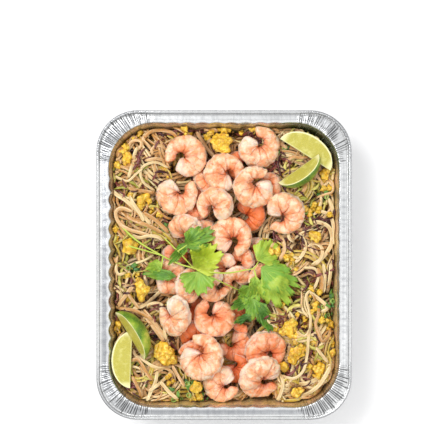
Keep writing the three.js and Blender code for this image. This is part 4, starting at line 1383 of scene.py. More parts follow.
@dataclass(frozen=True)
class Sprig:
    """A sprig's stems, as routes in plan, and the numbers of its leaves."""

    node: str
    stems: tuple[tuple[float, ...], ...]
    leaves: tuple[tuple[float, ...], ...]


SPRIGS = (
    Sprig("coriander_01", (
        (-107, 40, -87, 23, -63, 9, -45, 1, -28, -4, -5, -16, 16, -27), (-99, 20, -82, 15, -64, 9.5),
        (-28, -5, 1, -8, 22, -5, 31, -3, 36, 4), (31, -4, 33, -12, 36, -20, 33, -34),
        (-63, 9, -64, 2, -66, -6),
    ), (
        (34, 5, 40, 29, 30, 0.08, 0.26), (38, -2, -32, 48, 34, 0.05, 0.52),
        (42, -8, -58, 44, 38, 0.08, 0.28), (33, -11, -100, 22, 13, 0.3, 0.3),
        (31, -20, -64, 20, 22, 0.12, 0.5), (29, -22, -122, 22, 21, 0.15, 0.42),
        (34, -38, -64, 36, 19, 0.2, 0.82), (30, -34, -92, 24, 19, 0.2, 0.66),
        (28, -37, -160, 23, 15, 0.2, 0.8), (31, -54, -166, 22, 12, 0.25, 0.95),
        (-26, -6, -100, 25, 40, 0.1, 0.4), (-49, -11, 176, 37, 14, 0.4, 0.72),
        (-63, 1, 196, 19, 15, 0.3, 0.3),
    )),
    Sprig("coriander_02", (
        (-103, 52, -79, 38, -63, 28, -48, 14, -38, 4, -30, -4), (-48, 14, -42, 18, -38, 21)
    ), (
        (-38, 23, 230, 30, 13, 0.4, 0.68), (-41, 20, 26, 36, 28, 0.2, 0.72),
        (-38, 22, 46, 24, 22, 0.2, 0.5), (-31, -3, 38, 35, 38, 0.1, 0.0),
    )),
)


@dataclass
class CorianderSprigs:
    """Sprigs of coriander draped over the food."""

    finish: LeafFinish = LeafFinish()
    stem_radius: float = 0.9
    around: int = 120
    outward: int = 12
    notch: float = 0.2
    thickness: float = 0.35

    def build(self, nodes: Nodes, covered: HeightMap) -> None:
        """Makes each sprig's leaves and stems as one piece."""
        material = self.finish.material()
        for sprig in SPRIGS:
            drape = self._drape(nodes[sprig.node], covered)
            parts = [self._leaf(Leaf(*leaf), i, drape) for i, leaf in enumerate(sprig.leaves)]
            parts += [self._stem(route, drape) for route in sprig.stems]
            Bench.alone(*parts)
            bpy.ops.object.join()
            piece = bpy.context.object
            piece.name = piece.data.name = f"leafy_{sprig.node}"
            Bench.finish(piece, "leaf", material, sprig.node)

    @staticmethod
    def _drape(node: Piece, covered: HeightMap) -> HeightMap:
        """The height of a sprig's solid, carried on past its edges."""
        drape = HeightMap.seen([node], -1.0)
        known = drape.cells > 0
        cells = np.where(known, drape.cells, 0.0)
        for _ in range(10):
            near = sum(np.roll(cells * known, w, a) for a in (0, 1) for w in (-1, 1))
            count = sum(np.roll(known, w, a) for a in (0, 1) for w in (-1, 1))
            fresh = ~known & (count > 0)
            cells = np.where(fresh, near / np.maximum(count, 1), cells)
            known = known | fresh
        cells = np.where(known, cells - 0.5, covered.cells + 1.5)
        return HeightMap(np.maximum(cells, covered.cells + 0.7)).blurred(1)

    def _outline(self, turn: Array, leaf: Leaf, number: int) -> Array:
        """How far the blade reaches in directions from -1 to 1."""
        rng = np.random.default_rng(50 + number + int(leaf.length))
        reach = 0.86 + 0.14 * np.cos(turn * 2.4)
        wide = leaf.breadth > 20
        for at in (-0.46, -0.02, 0.42) if wide else (-0.3, 0.3):
            at += rng.uniform(-0.08, 0.08)
            reach -= self.notch * rng.uniform(0.5, 1.3) * np.exp(-(((turn - at) / 0.06) ** 2))
        teeth = np.abs(np.sin(turn * (10 if wide else 7) + rng.uniform(0, 3))) ** 0.7
        fine = np.abs(np.sin(turn * 24 + rng.uniform(0, 3))) ** 0.8
        return reach * (0.79 + 0.14 * teeth + 0.09 * fine)

    def _leaf(self, leaf: Leaf, number: int, drape: HeightMap) -> Piece:
        """A blade fanned out from its stalk, veined, waved and folded."""
        blade = Bench.grid("leaf_blade", self.around, self.outward)
        flat = Bench.points(blade)
        turn = (flat[:, 0] - 0.5) * 2
        share = flat[:, 1]
        spread = 1.5
        angle = turn * spread
        reach = self._outline(turn, leaf, number) * share
        forward = leaf.length * reach * np.cos(angle * 0.86)
        aside = leaf.breadth * 0.62 * reach * np.sin(angle) * (1 - 0.25 * leaf.fold)
        bearing = math.radians(leaf.bearing)
        x = leaf.x + forward * math.cos(bearing) - aside * math.sin(bearing)
        y = leaf.y + forward * math.sin(bearing) + aside * math.cos(bearing)
        seed = number * 4.7 + leaf.length
        curl = cloud(x / 7, y / 7, seed) * 2.2 + cloud(x / 2.6, y / 2.6, seed) * 0.9
        vein_at = np.abs((turn * 4.5 + 0.5) % 1 - 0.5) / 4.5
        vein = np.exp(-((vein_at * reach * leaf.length / 0.5) ** 2)) * (1 - 0.4 * share)
        wave = np.sin(angle * 11 + seed) * share**2 * 1.1
        z = drape.at(x, y) + 0.5 + curl * share + wave - vein * 0.25
        z += leaf.fold * np.abs(aside) * 0.45
        points = np.column_stack([x, y, z])
        Bench.move_points(blade, points * MM)
        Bench.mark(blade, tint=leaf.tint, vein=vein, edge=ease(share, 0.55, 1))
        Bench.weld(blade, 0.02)
        Bench.modify(blade, "SOLIDIFY", thickness=self.thickness * MM, offset=0)
        return blade

    def _stem(self, route: Sequence[Pair], drape: HeightMap) -> Piece:
        """A thin round stem along its route, tapering a little."""
        plan = smooth_route(route, 1.5)
        lift = drape.at(plan[:, 0], plan[:, 1])
        for _ in range(12):
            lift[1:-1] = (lift[:-2] + 2 * lift[1:-1] + lift[2:]) / 4
        line = np.column_stack([plan, lift + self.stem_radius * 0.4])
        taper = np.linspace(1.1, 0.7, len(line)) * 2 * self.stem_radius
        strand = Strand(line, taper, taper, np.zeros(len(line)), 0.12)
        stem = weave("stem", [strand], 10)
        Bench.mark(stem, vein=1.2, edge=0.0)
        return stem


# ---- strands


def smooth_route(route: Sequence[float], step: float) -> Array:
    """A smooth curve in plan through places given as x, y, x, y."""
    knots = np.array(route, float).reshape(-1, 2)
    padded = carried_on(knots)
    curve = []
    for i in range(len(knots) - 1):
        a, b, c, d = padded[i : i + 4]
        count = max(2, round(float(np.linalg.norm(c - b)) / step))
        curve += [between_knots(a, b, c, d, t) for t in np.arange(count) / count]
    return np.array([*curve, knots[-1]])


@dataclass
class Strand:
    """A noodle, sprout, shred or stem."""

    line: Array
    width: float | Array
    thickness: float | Array
    roll: Array
    tint: float

    def rings(self, sides: int) -> Array:
        """The points of its surface, ring by ring, with rounded ends."""
        line = self.line
        along = directions(line)
        across = np.cross(along, [0.0, 0.0, 1.0])
        across /= np.linalg.norm(across, axis=1)[:, None] + 1e-9
        up = np.cross(across, along)
        cos, sin = np.cos(self.roll)[:, None], np.sin(self.roll)[:, None]
        broad, thin = across * cos + up * sin, up * cos - across * sin
        angle = np.arange(sides) / sides * math.tau + math.pi / sides
        flat = np.sign(np.cos(angle)) * np.abs(np.cos(angle)) ** 0.8
        ends = np.ones(len(line))
        ends[[0, -1]] = 0.45
        ends[[1, -2]] = 0.88
        half_width = (np.ones(len(line)) * self.width / 2 * ends)[:, None, None]
        half_height = (np.ones(len(line)) * self.thickness / 2 * ends)[:, None, None]
        ring = broad[:, None] * flat[None, :, None] * half_width
        return line[:, None] + ring + thin[:, None] * np.sin(angle)[None, :, None] * half_height


def weave(name: str, strands: Sequence[Strand], sides: int) -> Piece:
    """One mesh of many closed strands.

    Args:
        name: The piece's name.
        strands: The strands.
        sides: How many sides each has.

    Returns:
        The piece, marked with each strand's tint and its edges.
    """
    points, faces, tints, edges = [], [], [], []
    first = 0
    turn = np.arange(sides)
    # Near 1 at a strand's broad edges and near 0 mid-face; the noodle finish paints its highlight and
    # shade from it.
    side = np.abs(np.cos(turn / sides * math.tau + math.pi / sides))
    after = (turn + 1) % sides
    for strand in strands:
        rings = strand.rings(sides)
        count = len(rings)
        tips = np.array([strand.line[0], strand.line[-1]])
        points.append(np.concatenate([rings.reshape(-1, 3), tips]))
        start = first + np.arange(count - 1)[:, None] * sides
        quads = np.stack(
            [start + turn, start + after, start + after + sides, start + turn + sides], axis=-1
        )
        faces += quads.reshape(-1, 4).tolist()
        last = first + (count - 1) * sides
        tip = first + count * sides
        faces += [(tip, first + b, first + a) for a, b in zip(turn.tolist(), after.tolist())]
        faces += [(tip + 1, last + a, last + b) for a, b in zip(turn.tolist(), after.tolist())]
        tints.append(np.full(count * sides + 2, strand.tint))
        edges.append(np.append(np.tile(side, count), [0.5, 0.5]))
        first += count * sides + 2
    piece = Bench.from_faces(name, np.concatenate(points), faces)
    Bench.mark(piece, tint=np.concatenate(tints), side=np.concatenate(edges))
    return piece


# ---- noodle bed


class NoodleTone(Enum):
    """How much sauce a noodle has taken up, as a tint."""

    WHITE = -0.2
    CREAM = 0.08
    PINK = 0.5
    TAN = 0.95
    OLIVE = 1.45


WHITE, CREAM, PINK, TAN, OLIVE = NoodleTone

# The noodles that lie on top: tone, width, and a route in plan as x, y, x, y and so on.
TOP_NOODLES: tuple[tuple[Any, ...], ...] = (
    (TAN, 3.6, -83, 132, -77, 138, -69, 140, -59, 139, -52, 136, -49, 131),
    (TAN, 2.8, -75, 135, -69, 131, -64, 126, -57, 124),
    (PINK, 3.0, -99, 119, -98, 126, -93, 129, -86, 128, -87, 122, -93, 119),
    (CREAM, 3.8, -90, 122, -93, 114, -95, 103, -99, 90),
    (CREAM, 2.8, -72, 77, -82, 84, -86, 92, -85, 100, -78, 105, -69, 106, -58, 101),
    (CREAM, 2.6, -113, 92, -107, 89, -99, 87, -91, 94, -84, 100),
    (PINK, 3.4, -82, 108, -69, 110, -59, 107),
    (PINK, 3.2, -74, 114, -75, 119, -71, 123, -64, 123, -60, 119),
    (CREAM, 4.2, -116, 77, -110, 72, -102, 67, -93, 59, -84, 51, -76, 42),
    (CREAM, 3.8, -99, 73, -94, 64, -88, 55, -83, 45),
    (PINK, 3.8, -95, 55, -106, 59, -112, 55, -111, 47, -106, 41, -97, 36, -86, 33, -76, 30),
    (TAN, 4.0, -102, 51, -90, 45, -77, 40, -64, 33), (TAN, 4.0, -83, 54, -72, 47, -64, 40, -58, 33),
    (TAN, 2.6, -71, 60, -64, 52, -57, 48, -48, 48, -41, 53, -43, 59),
    (PINK, 4.2, -30, 63, -20, 52, -12, 46), (PINK, 4.0, -29, 139, -23, 130, -16, 119, -9, 112),
    (CREAM, 3.8, -18, 128, -12, 131, -4, 135, 4, 139),
    (CREAM, 3.6, -95, 31, -88, 28, -79, 30, -69, 29, -63, 24), (PINK, 4.0, -21, 141, -13, 141, -6, 139),
    (TAN, 3.6, -111, 112, -109, 119, -103, 123), (TAN, 3.6, -84, 73, -74, 75, -93, 78, -99, 80),
    (PINK, 3.8, 53, 133, 59, 127, 66, 121), (TAN, 3.4, 64, 107, 72, 112, 79, 111, 88, 112),
    (PINK, 2.6, 99, 99, 106, 91, 113, 85, 113, 76, 105, 73, 97, 70),
    (CREAM, 3.2, 101, 71, 101, 64, 98, 56, 93, 52), (CREAM, 3.4, 109, 69, 113, 59, 113, 49),
    (CREAM, 4.4, 93, 45, 103, 43, 110, 38, 113, 28, 110, 17, 101, 6, 91, -1),
    (CREAM, 4.0, 100, 56, 109, 52, 113, 45, 115, 33, 115, 21),
    (CREAM, 3.8, 79, 32, 85, 21, 82, 11, 74, 2), (CREAM, 3.0, 76, 23, 70, 18, 71, 10, 78, 6),
    (CREAM, 3.4, 87, 19, 95, 22, 102, 17, 101, 8, 95, 0), (CREAM, 3.6, 74, 44, 68, 37, 68, 28, 74, 23),
    (PINK, 4.0, 58, 32, 62, 24, 63, 15, 58, 5), (TAN, 3.4, 86, 83, 82, 76, 88, 90, 93, 94),
    (CREAM, 3.0, 82, -3, 94, -4, 98, -12, 94, -23, 86, -30, 86, -38, 89, -50, 90, -61, 87, -77, 86,
        -94, 82, -109, 73, -117, 63, -116),
    (CREAM, 2.8, 67, -51, 72, -61, 77, -70, 84, -73, 89, -66),
    (CREAM, 3.8, 89, -28, 98, -35, 105, -41, 107, -46, 101, -49),
    (CREAM, 3.8, 111, 2, 110, -14, 108, -30), (CREAM, 3.6, 103, 1, 105, -13, 104, -29),
    (TAN, 3.6, 97, -3, 102, -16, 101, -30),
    (TAN, 3.2, 92, -31, 98, -43, 98, -52, 95, -61, 97, -70, 102, -79, 109, -73, 111, -66),
    (CREAM, 4.2, 63, -125, 76, -124, 89, -121, 101, -115, 110, -103),
    (CREAM, 4.2, 80, -139, 90, -131, 99, -123, 106, -113, 110, -105),
    (CREAM, 3.6, 56, -141, 60, -130, 61, -120, 58, -113), (TAN, 3.4, 91, -97, 92, -107, 86, -118),
    (CREAM, 3.4, 95, -85, 102, -94, 108, -101), (TAN, 3.6, 44, -65, 51, -70, 53, -77),
    (CREAM, 2.6, -98, -6, -100, -13, -102, -20), (WHITE, 3.2, -83, -11, -81, -21, -78, -31),
    (PINK, 4.2, -112, -46, -106, -37, -99, -28, -93, -19),
    (WHITE, 3.8, -95, -46, -84, -43, -74, -35, -62, -24),
    (WHITE, 3.4, -80, -47, -78, -42, -71, -40, -63, -42),
    (PINK, 4.4, -88, -48, -79, -57, -71, -68, -62, -81),
    (PINK, 4.0, -84, -47, -75, -57, -67, -67, -60, -77),
    (CREAM, 3.4, -94, -88, -92, -94, -84, -99, -74, -105, -64, -108, -54, -107),
    (TAN, 3.6, -97, -100, -90, -98, -84, -105, -79, -113, -73, -119),
    (WHITE, 3.8, -69, -110, -71, -121, -76, -132, -80, -141),
    (WHITE, 3.6, -55, -113, -64, -121, -71, -126, -78, -131),
    (CREAM, 4.0, -66, -121, -58, -131, -48, -140), (PINK, 3.8, -54, -106, -49, -115, -41, -127),
    (CREAM, 3.4, -60, -59, -62, -68, -60, -78), (PINK, 3.4, -99, -30, -94, -38, -88, -46),
    (TAN, 3.6, -109, -45, -95, -47, -85, -51, -74, -57),
    (TAN, 3.4, -95, -115, -91, -123, -87, -132, -87, -142),
    (PINK, 3.6, -44, 146, -30, 147, -16, 144, -6, 139),
    (TAN, 3.4, -58, 146, -46, 141, -36, 134, -30, 126), (PINK, 3.4, 10, 146, 20, 147, 30, 144),
    (TAN, 3.4, 36, 147, 48, 144, 58, 139), (CREAM, 3.2, -111, 1, -112, -5, -109, -10, -102, -8),
)

# Where purple shreds, green onion, pale cabbage and crumbs of egg gather, as x, y pairs.
SHRED_SPOTS = np.reshape((
    -85, 107, -76, 87, -59, 134, -32, 143, -54, 53, -16, 108, 58, 100, 79, 33, 88, 60, 108, 48,
    87, -20, 107, -10, 56, -56, 81, -59, 65, -93, 76, -103, 86, -113, -106, -42, -102, -26, -66, -47,
    -57, -68, 60, 88, -90, -130, -28, -140, -24, 102, 34, 140, 62, 30, -100, 78, 54, 112, -70, 22,
), (-1, 2))
GREEN_SPOTS = np.reshape((
    -37, -124, -22, -136, 113, -36, 110, -49, 72, -83, -48, -139, -92, -111, -80, -124, 78, 77,
    97, 88, -94, -5, 68, 116, 85, 53, 74, 72, -82, -118, 106, -42, -34, -132, 60, 118, 99, 72,
    -88, 60, 52, -122, -60, 40, 90, -72,
), (-1, 2))
CABBAGE_SPOTS = np.reshape((
    80, 118, 92, 90, 84, 76, 100, 84, 74, 92, 76, 60, 88, 44, -110, 20, -104, 12, -96, -10,
    -60, -118, -88, -104, -78, -112, 84, -42, 98, -62, 94, -76, 102, -84, 60, -46, -84, 20, -70, 12,
    -98, 44, -90, 74, 62, -92, -20, 100, 96, -36, 66, 132, -110, 96, -100, 108, -108, -28, 76, -66,
    -46, -126, -60, 76, 100, 60,
), (-1, 2))
YOLK_SPOTS = np.reshape((
    -84, 132, -105, 123, -64, 96, -84, 56, -113, 33, -4, 141, 105, 83, 94, 32, 85, 53, 67, 7,
    63, -47, 65, -105, 108, -91, -94, -8, -95, -122, -53, -121, -30, -137, -101, -37, -97, 96,
    58, -34, -72, 60, 80, -80, 70, 118, 99, 62, 92, -122, -66, -112, -108, -62, 54, 10, -12, 138,
    98, -30, 88, -58, 100, -66, 106, -88, 88, -82, 58, -82, 84, -118, 70, -118, 94, -100, 58, -54,
    -100, 100, -40, 138, 24, 142, 44, 138, -110, 72, 107, -62, 60, -130, 96, -44, 75, -88, 82, -76,
    107, -90, 66, -106, 70, -84, 56, -66, 106, -66,
), (-1, 2))


@dataclass
class NoodleBed:
    """The heap of rice noodles, laid down strand by strand."""

    shape: PanShape = PanShape()
    finish: NoodleFinish = NoodleFinish()
    depth: float = 7.0
    step: float = 2.6
    thickness: float = 1.7
    clearance: float = 0.5
    wall_gap: float = 2.0
    foil_room: float = 1.2
    corner_room: float = 5.0
    # Between which depths below the heap's top noodles darken with sauce.
    soaked_and_shaded: Pair = (0.4, 6.0)
    # Where the noodles are yellow with egg: the middle and the reach of each area.
    yellow_areas: tuple[tuple[float, float, float], ...] = (
        (-100, 26, 34), (92, -84, 44), (-68, -112, 34), (82, 86, 26), (98, -30, 18)
    )

    def build(self, nodes: Nodes, toppings: Sequence[Piece]) -> None:
        """Makes the core and lays everything on it, under the toppings."""
        self.rng = np.random.default_rng(2024)
        solid = HeightMap.seen([nodes["noodle_bed"]], 49.0)
        self.limit = solid.spread(5).blurred(3)
        core = solid.spread(3, np.minimum).spread(3).blurred(3)
        core.cells -= self.depth
        self.ground = core.copy()
        ceiling = HeightMap.seen(toppings, 150.0, from_above=False)
        self.ceiling = ceiling.spread(5, np.minimum).spread(5)
        self.ceiling.cells = np.minimum(self.ceiling.cells, ceiling.cells)
        self._core(core)
        lower = self._bundles(18.6, (45, 95), (2, 4))
        shreds = self._shreds(SHRED_SPOTS, 4)
        crumbs = self._crumb_places(YOLK_SPOTS, 2, (5.0, 13.0), 9)
        pale_shreds = self._shreds(CABBAGE_SPOTS, 3, 3.0)
        middle = self._bundles(23.0, (55, 125), (1, 3), (2.4, 3.9))
        sprouts = self._sprouts(40)
        middle += self._bundles(19.0, (20, 48), (1, 2), (1.6, 2.8))
        shreds += self._shreds(SHRED_SPOTS, 5)
        pale_shreds += self._shreds(CABBAGE_SPOTS, 2, 3.2)
        onions = self._crumb_places(GREEN_SPOTS, 2, (3.6, 5.6), 7)
        greens = self._crumb_places(GREEN_SPOTS, 3, (4.0, 8.0), 8)
        top = self._top_noodles()
        shreds += self._shreds(SHRED_SPOTS, 3, 3.0, (7, 15))
        greens += self._crumb_places(GREEN_SPOTS, 1, (4.0, 7.5), 7)
        crumbs += self._crumb_places(YOLK_SPOTS, 4, (3.0, 10.0), 11)
        nuts = self._crumb_places(self._anywhere(340), 1, (1.4, 3.4), 4)
        material = self.finish.material()
        for name, strands, sides in (
            ("noodles_below", lower, 6), ("noodles_between", middle, 8), ("noodles_on_top", top, 10)
        ):
            piece = self._within(weave(name, strands, sides))
            x, y, z = (Bench.points(piece) / MM).T
            # Painted shade on noodles under the toppings, and sauce darkening those deeper below the
            # heap's top.
            shaded = 0.8 * (self.ceiling.at(x, y) < 120)
            soaked_and_shaded = ease(self.limit.at(x, y) - z, *self.soaked_and_shaded)
            Bench.mark(piece, soaked_and_shaded=np.maximum(soaked_and_shaded, shaded))
            Bench.finish(piece, "noodles", material, "noodle_bed")
        for name, strands, sides, light, dark, patch in (
            ("bean_sprout", sprouts, 8, srgb(0xECDAA4), srgb(0xCEAC64), 3),
            ("purple_shred", shreds, 6, srgb(0x8A443C), srgb(0x3A0E10), 4),
            ("cabbage_shred", pale_shreds, 6, srgb(0xE6D674), srgb(0x96942C), 4),
        ):
            piece = self._within(weave(f"{name}s", strands, sides))
            Bench.finish(piece, "noodles", BitFinish(name, light, dark, patch).material())
        self._scatter_all(crumbs, onions, greens, nuts)

    def _within(self, piece: Piece, room: float = 0) -> Piece:
        """Presses what reaches through the pan's wall back inside it."""
        x, y, z = (Bench.points(piece) / MM).T
        gap = self.foil_room + room + self.shape.bulge(x, y)
        x, y = self.shape.pulled_in(x, y, np.clip(z, 2, 60), gap)
        Bench.move_points(piece, np.column_stack([x, y, z]) * MM)
        return piece

    # -- laying down

    def _rest(self, plan: Array, width: float, thickness: float, roll: Array, sink: float) -> Array:
        """Lets a strand down on what is there, and raises the ground under it.

        Args:
            plan: Its route in plan.
            width: Its width.
            thickness: Its thickness.
            roll: How far it is turned at each point.
            sink: How far it presses down.

        Returns:
            Its middle line.
        """
        aside = beside(plan)
        half_width = np.hypot(width / 2 * np.cos(roll), thickness / 2 * np.sin(roll))
        half_height = np.hypot(width / 2 * np.sin(roll), thickness / 2 * np.cos(roll))
        offsets = np.array([-0.9, -0.5, 0, 0.5, 0.9])
        spots = plan[:, None] + aside[:, None] * (half_width[:, None] * offsets)[..., None]
        floor = self.ground.at(spots[..., 0], spots[..., 1]).max(1) + half_height - sink
        roof = self.ceiling.at(spots[..., 0], spots[..., 1]).min(1) - half_height - self.clearance
        height = floor.copy()
        for _ in range(14):
            height[1:-1] = np.maximum(floor[1:-1], (height[:-2] + height[2:]) / 2 - 0.05)
        height = np.minimum(height, roof)
        for _ in range(5):
            height[1:-1] = (height[:-2] + 2 * height[1:-1] + height[2:]) / 4
            height = np.minimum(height, roof)
        line = np.column_stack([plan, height])
        self._raise(line, *aside.T, half_width, half_height)
        return line

    def _raise(self, line: Array, *section: Array) -> None:
        """Adds a strand's rounded top to the ground."""
        fine = np.linspace(0, len(line) - 1, len(line) * 4)
        index = np.arange(len(line))
        x, y, z, ax, ay, w, h = (np.interp(fine, index, v) for v in (*line.T, *section))
        for offset in np.linspace(-1, 1, 9):
            drop = h * math.sqrt(max(0.0, 1 - offset * offset * 0.9))
            self.ground.lift(x + ax * w * offset, y + ay * w * offset, z + drop)

    def _wander(self, start: Array, heading: float, length: float, radius: float) -> Array:
        """A loose curve in plan that stays inside the wall."""
        count = max(4, round(length / self.step))
        sway = np.cumsum(self.rng.normal(0, 0.08, count))
        turns = self.step / radius + (sway - sway.mean()) * 0.16
        headings = heading + np.cumsum(turns)
        steps = np.column_stack([np.cos(headings), np.sin(headings)]) * self.step
        plan = self._kept_in(start + np.cumsum(steps, axis=0))
        for _ in range(3):
            plan[1:-1] = (plan[:-2] + 2 * plan[1:-1] + plan[2:]) / 4
        return plan

    def _kept_in(self, plan: Array) -> Array:
        """The longest run of a route that stays clear of the wall."""
        gap = self.wall_gap * self.rng.uniform(0.7, 1.6)
        room = self.corner_room * self.rng.uniform(0.5, 1.2)
        inside = np.column_stack(self.shape.pulled_in(plan[:, 0], plan[:, 1], 50, gap, room))
        free = np.linalg.norm(inside - plan, axis=1) < 3
        breaks = np.flatnonzero(np.diff(np.concatenate([[0], free.astype(int), [0]])))
        runs = sorted(zip(breaks[::2], breaks[1::2]), key=lambda run: run[0] - run[1])
        if runs and runs[0][1] - runs[0][0] >= 4:
            return inside[runs[0][0] : runs[0][1]]
        return inside[: max(4, len(plan) // 3)]

    def _lay(
        self, plan: Array, width: float, thickness: float, twist: float, sink: float = 0.25
    ) -> tuple[Array, Array]:
        """Twists a flat strand and lets it down: its line and its roll."""
        phase, waves = self.rng.uniform(0, math.tau), self.rng.uniform(0.5, 1.6)
        roll = twist * np.sin(phase + np.linspace(0, waves * math.tau, len(plan)))
        return self._rest(plan, width, thickness, roll, sink), roll

    def _anywhere(self, count: int) -> list[Pair]:
        """Random places over the pan."""
        x, y = self.rng.uniform(-1, 1, (2, count)) * np.array([[112], [140]])
        x, y = self.shape.pulled_in(x, y, 50, 5, self.corner_room)
        return list(zip(x.tolist(), y.tolist()))

    def _bundles(
        self, gap: float, lengths: Pair, sizes: tuple[int, int], widths: Pair = (2.7, 4.2)
    ) -> list[Strand]:
        """Noodles that run side by side in small bundles, begun on a loose grid.

        Args:
            gap: The distance between the bundles.
            lengths: The least and greatest length.
            sizes: The least and greatest number in a bundle.
            widths: The least and greatest width.

        Returns:
            The noodles.
        """
        strands = []
        starts = [
            np.array([x, y], float) + self.rng.uniform(-0.5, 0.5, 2) * gap
            for x in np.arange(-108, 109, gap)
            for y in np.arange(-136, 137, gap)
        ]
        for angle in np.arange(0, math.tau, gap / 130):
            far = np.array([[400 * math.cos(angle)], [480 * math.sin(angle)]])
            inset = self.rng.uniform(3, 11)
            starts.append(np.concatenate(self.shape.pulled_in(*far, 50, inset, self.corner_room)))
        self.rng.shuffle(starts)
        for start in starts:
            room = self.ceiling.at(*start) - self.ground.at(*start)
            if room < 1.0:
                continue
            heading = self.rng.uniform(0, math.tau)
            radius = self.rng.choice([-1, 1]) * self.rng.uniform(9, 48)
            lead = self._wander(start, heading, self.rng.uniform(*lengths), radius)
            aside = beside(lead)
            near = min(np.hypot(*(start - spot[:2])) - spot[2] for spot in self.yellow_areas)
            tone = self.rng.choice(
                [t.value for t in (CREAM, PINK, TAN, OLIVE)],
                p=[0.2, 0.12, 0.24, 0.44] if near < 0 else [0.3, 0.27, 0.33, 0.1],
            )
            for place in range(self.rng.integers(sizes[0], sizes[1] + 1)):
                width = self.rng.uniform(*widths)
                drift = self.rng.uniform(-2.5, 2.5) * np.linspace(-1, 1, len(lead)) ** 2
                offset = place * (widths[1] + 0.1) + drift
                plan = lead + aside * offset[:, None]
                cut = self.rng.integers(0, 1 + min(3, len(plan) // 6), 2)
                plan = self._kept_in(plan[cut[0] : len(plan) - cut[1]])
                line, roll = self._lay(plan, width, self.thickness, self.rng.uniform(0.1, 0.8))
                tint = float(tone + self.rng.normal(0, 0.12))
                strands.append(Strand(line, width, self.thickness, roll, tint))
        return strands

    def _top_noodles(self) -> list[Strand]:
        """The noodles that show whole, along their own routes."""
        strands = []
        for tone, width, *route in TOP_NOODLES:
            line, roll = self._lay(smooth_route(route, 1.9), width, self.thickness, 0.35, 0.1)
            tint = float(tone.value + self.rng.normal(0, 0.05))
            strands.append(Strand(line, width, self.thickness, roll, tint))
        return strands

    def _shreds(
        self, spots: Array, each: int, width: float = 2.4, lengths: Pair = (10, 28)
    ) -> list[Strand]:
        """Thin curly shreds of cabbage about each spot."""
        strands = []
        for spot in np.repeat(spots, each, axis=0):
            start = spot + self.rng.normal(0, 4.5, 2)
            radius = self.rng.choice([-1, 1]) * self.rng.uniform(5, 22)
            heading = self.rng.uniform(0, math.tau)
            plan = self._wander(start, heading, self.rng.uniform(*lengths), radius)
            breadth = width * self.rng.uniform(0.6, 1.4)
            line, roll = self._lay(plan, breadth, 0.7, 0.9, 0.1)
            strands.append(Strand(line, breadth, 0.7, roll, self.rng.uniform(-0.2, 1.2)))
        return strands

    def _sprouts(self, count: int) -> list[Strand]:
        """Bean sprouts: thick pale stalks that thin out to a root."""
        strands = []
        for start in self._anywhere(count):
            radius = self.rng.choice([-1, 1]) * self.rng.uniform(25, 90)
            heading = self.rng.uniform(0, math.tau)
            plan = self._wander(np.array(start), heading, self.rng.uniform(28, 46), radius)
            width = self.rng.uniform(2.4, 3.2)
            roll = np.zeros(len(plan))
            line = self._rest(plan, width, width * 0.9, roll, 0.2)
            share = np.linspace(0, 1, len(plan))
            taper = width * (1 - 0.55 * ease(share, 0.55, 1)) * (1 + 0.5 * (share < 0.08))
            strands.append(Strand(line, taper, taper * 0.92, roll, self.rng.uniform(-0.2, 0.7)))
        return strands

    # -- small pieces

    def _crumb_places(
        self, spots: Iterable, each: int, sizes: Pair, scatter: float
    ) -> list[tuple[Array, float]]:
        """Where small pieces lie.

        Args:
            spots: Where they gather.
            each: How many lie about each spot.
            sizes: Their least and greatest size.
            scatter: How far from its spot one may lie.

        Returns:
            The middle and the size of each.
        """
        places = []
        for spot in np.repeat(spots, each, axis=0):
            x, y = spot + self.rng.normal(0, scatter / 2, 2)
            x, y = (float(v) for v in self.shape.pulled_in(x, y, 52, 4))
            size = self.rng.uniform(*sizes)
            base = float(self.ground.at(x, y))
            if self.ceiling.at(x, y) - base < size * 0.7 or base > self.limit.at(x, y) + 5.5:
                continue
            places.append((np.array([x, y, base + size * 0.18]), size))
            ring = np.linspace(0, math.tau, 9)
            for reach in (0, 0.25, 0.45):
                far_x, far_y = x + size * reach * np.cos(ring), y + size * reach * np.sin(ring)
                self.ground.lift(far_x, far_y, np.full(9, base + size * (0.5 - reach * 0.6)))
        return places

    def _scatter_all(self, crumbs: list, onions: list, greens: list, nuts: list) -> None:
        """Models each kind of small piece and strews its copies."""
        nut = BitFinish("crushed_nut", srgb(0xE2AA60), srgb(0x965424), 1.5, 0.5)
        pale = BitFinish("onion_ring", srgb(0xC4D878), srgb(0x5C9438), 3, 0.3)
        green = BitFinish("onion_green", srgb(0x7AAC42), srgb(0x1E5222), 4, 0.3)
        for name, slot, finish, model, places, tip in (
            ("egg_crumbs", "egg", EggFinish(), lambda: self._lumps(3, 0.42, 5), crumbs, 0.6),
            ("nut_crumbs", "noodles", nut, lambda: self._lumps(1, 0.36, 3), nuts, 3.0),
            ("onion_rings", "leaf", pale, lambda: [self._ring()], onions, 0.7),
            ("onion_greens", "leaf", green, self._flakes, greens, 0.5),
        ):
            piece = self._within(self._strew(name, model(), places, tip))
            Bench.finish(piece, slot, finish.material(), smooth=finish is not nut)

    def _lumps(self, detail: int, rough: float, kinds: int) -> list[Piece]:
        """Rough lumps about 1 mm across, worked from a ball."""
        lumps = []
        for kind in range(kinds):
            lump = Bench.ball(f"lump_{kind}", detail, 0.5)
            points = Bench.points(lump) / MM
            seed = Vector((kind * 9.1, detail * 4.3, 0.7))
            grow = [
                1 + rough * 1.6 * noise.noise(Vector(p) * 2.6 + seed)
                - rough * 1.6 * abs(noise.noise(Vector(p) * 4.4 + seed))
                + rough * 0.8 * noise.noise(Vector(p) * 8 + seed)
                for p in points
            ]
            flat = points * np.array(grow)[:, None] * [1.0, 0.8, 0.62]
            Bench.move_points(lump, flat * MM)
            lumps.append(lump)
        return lumps

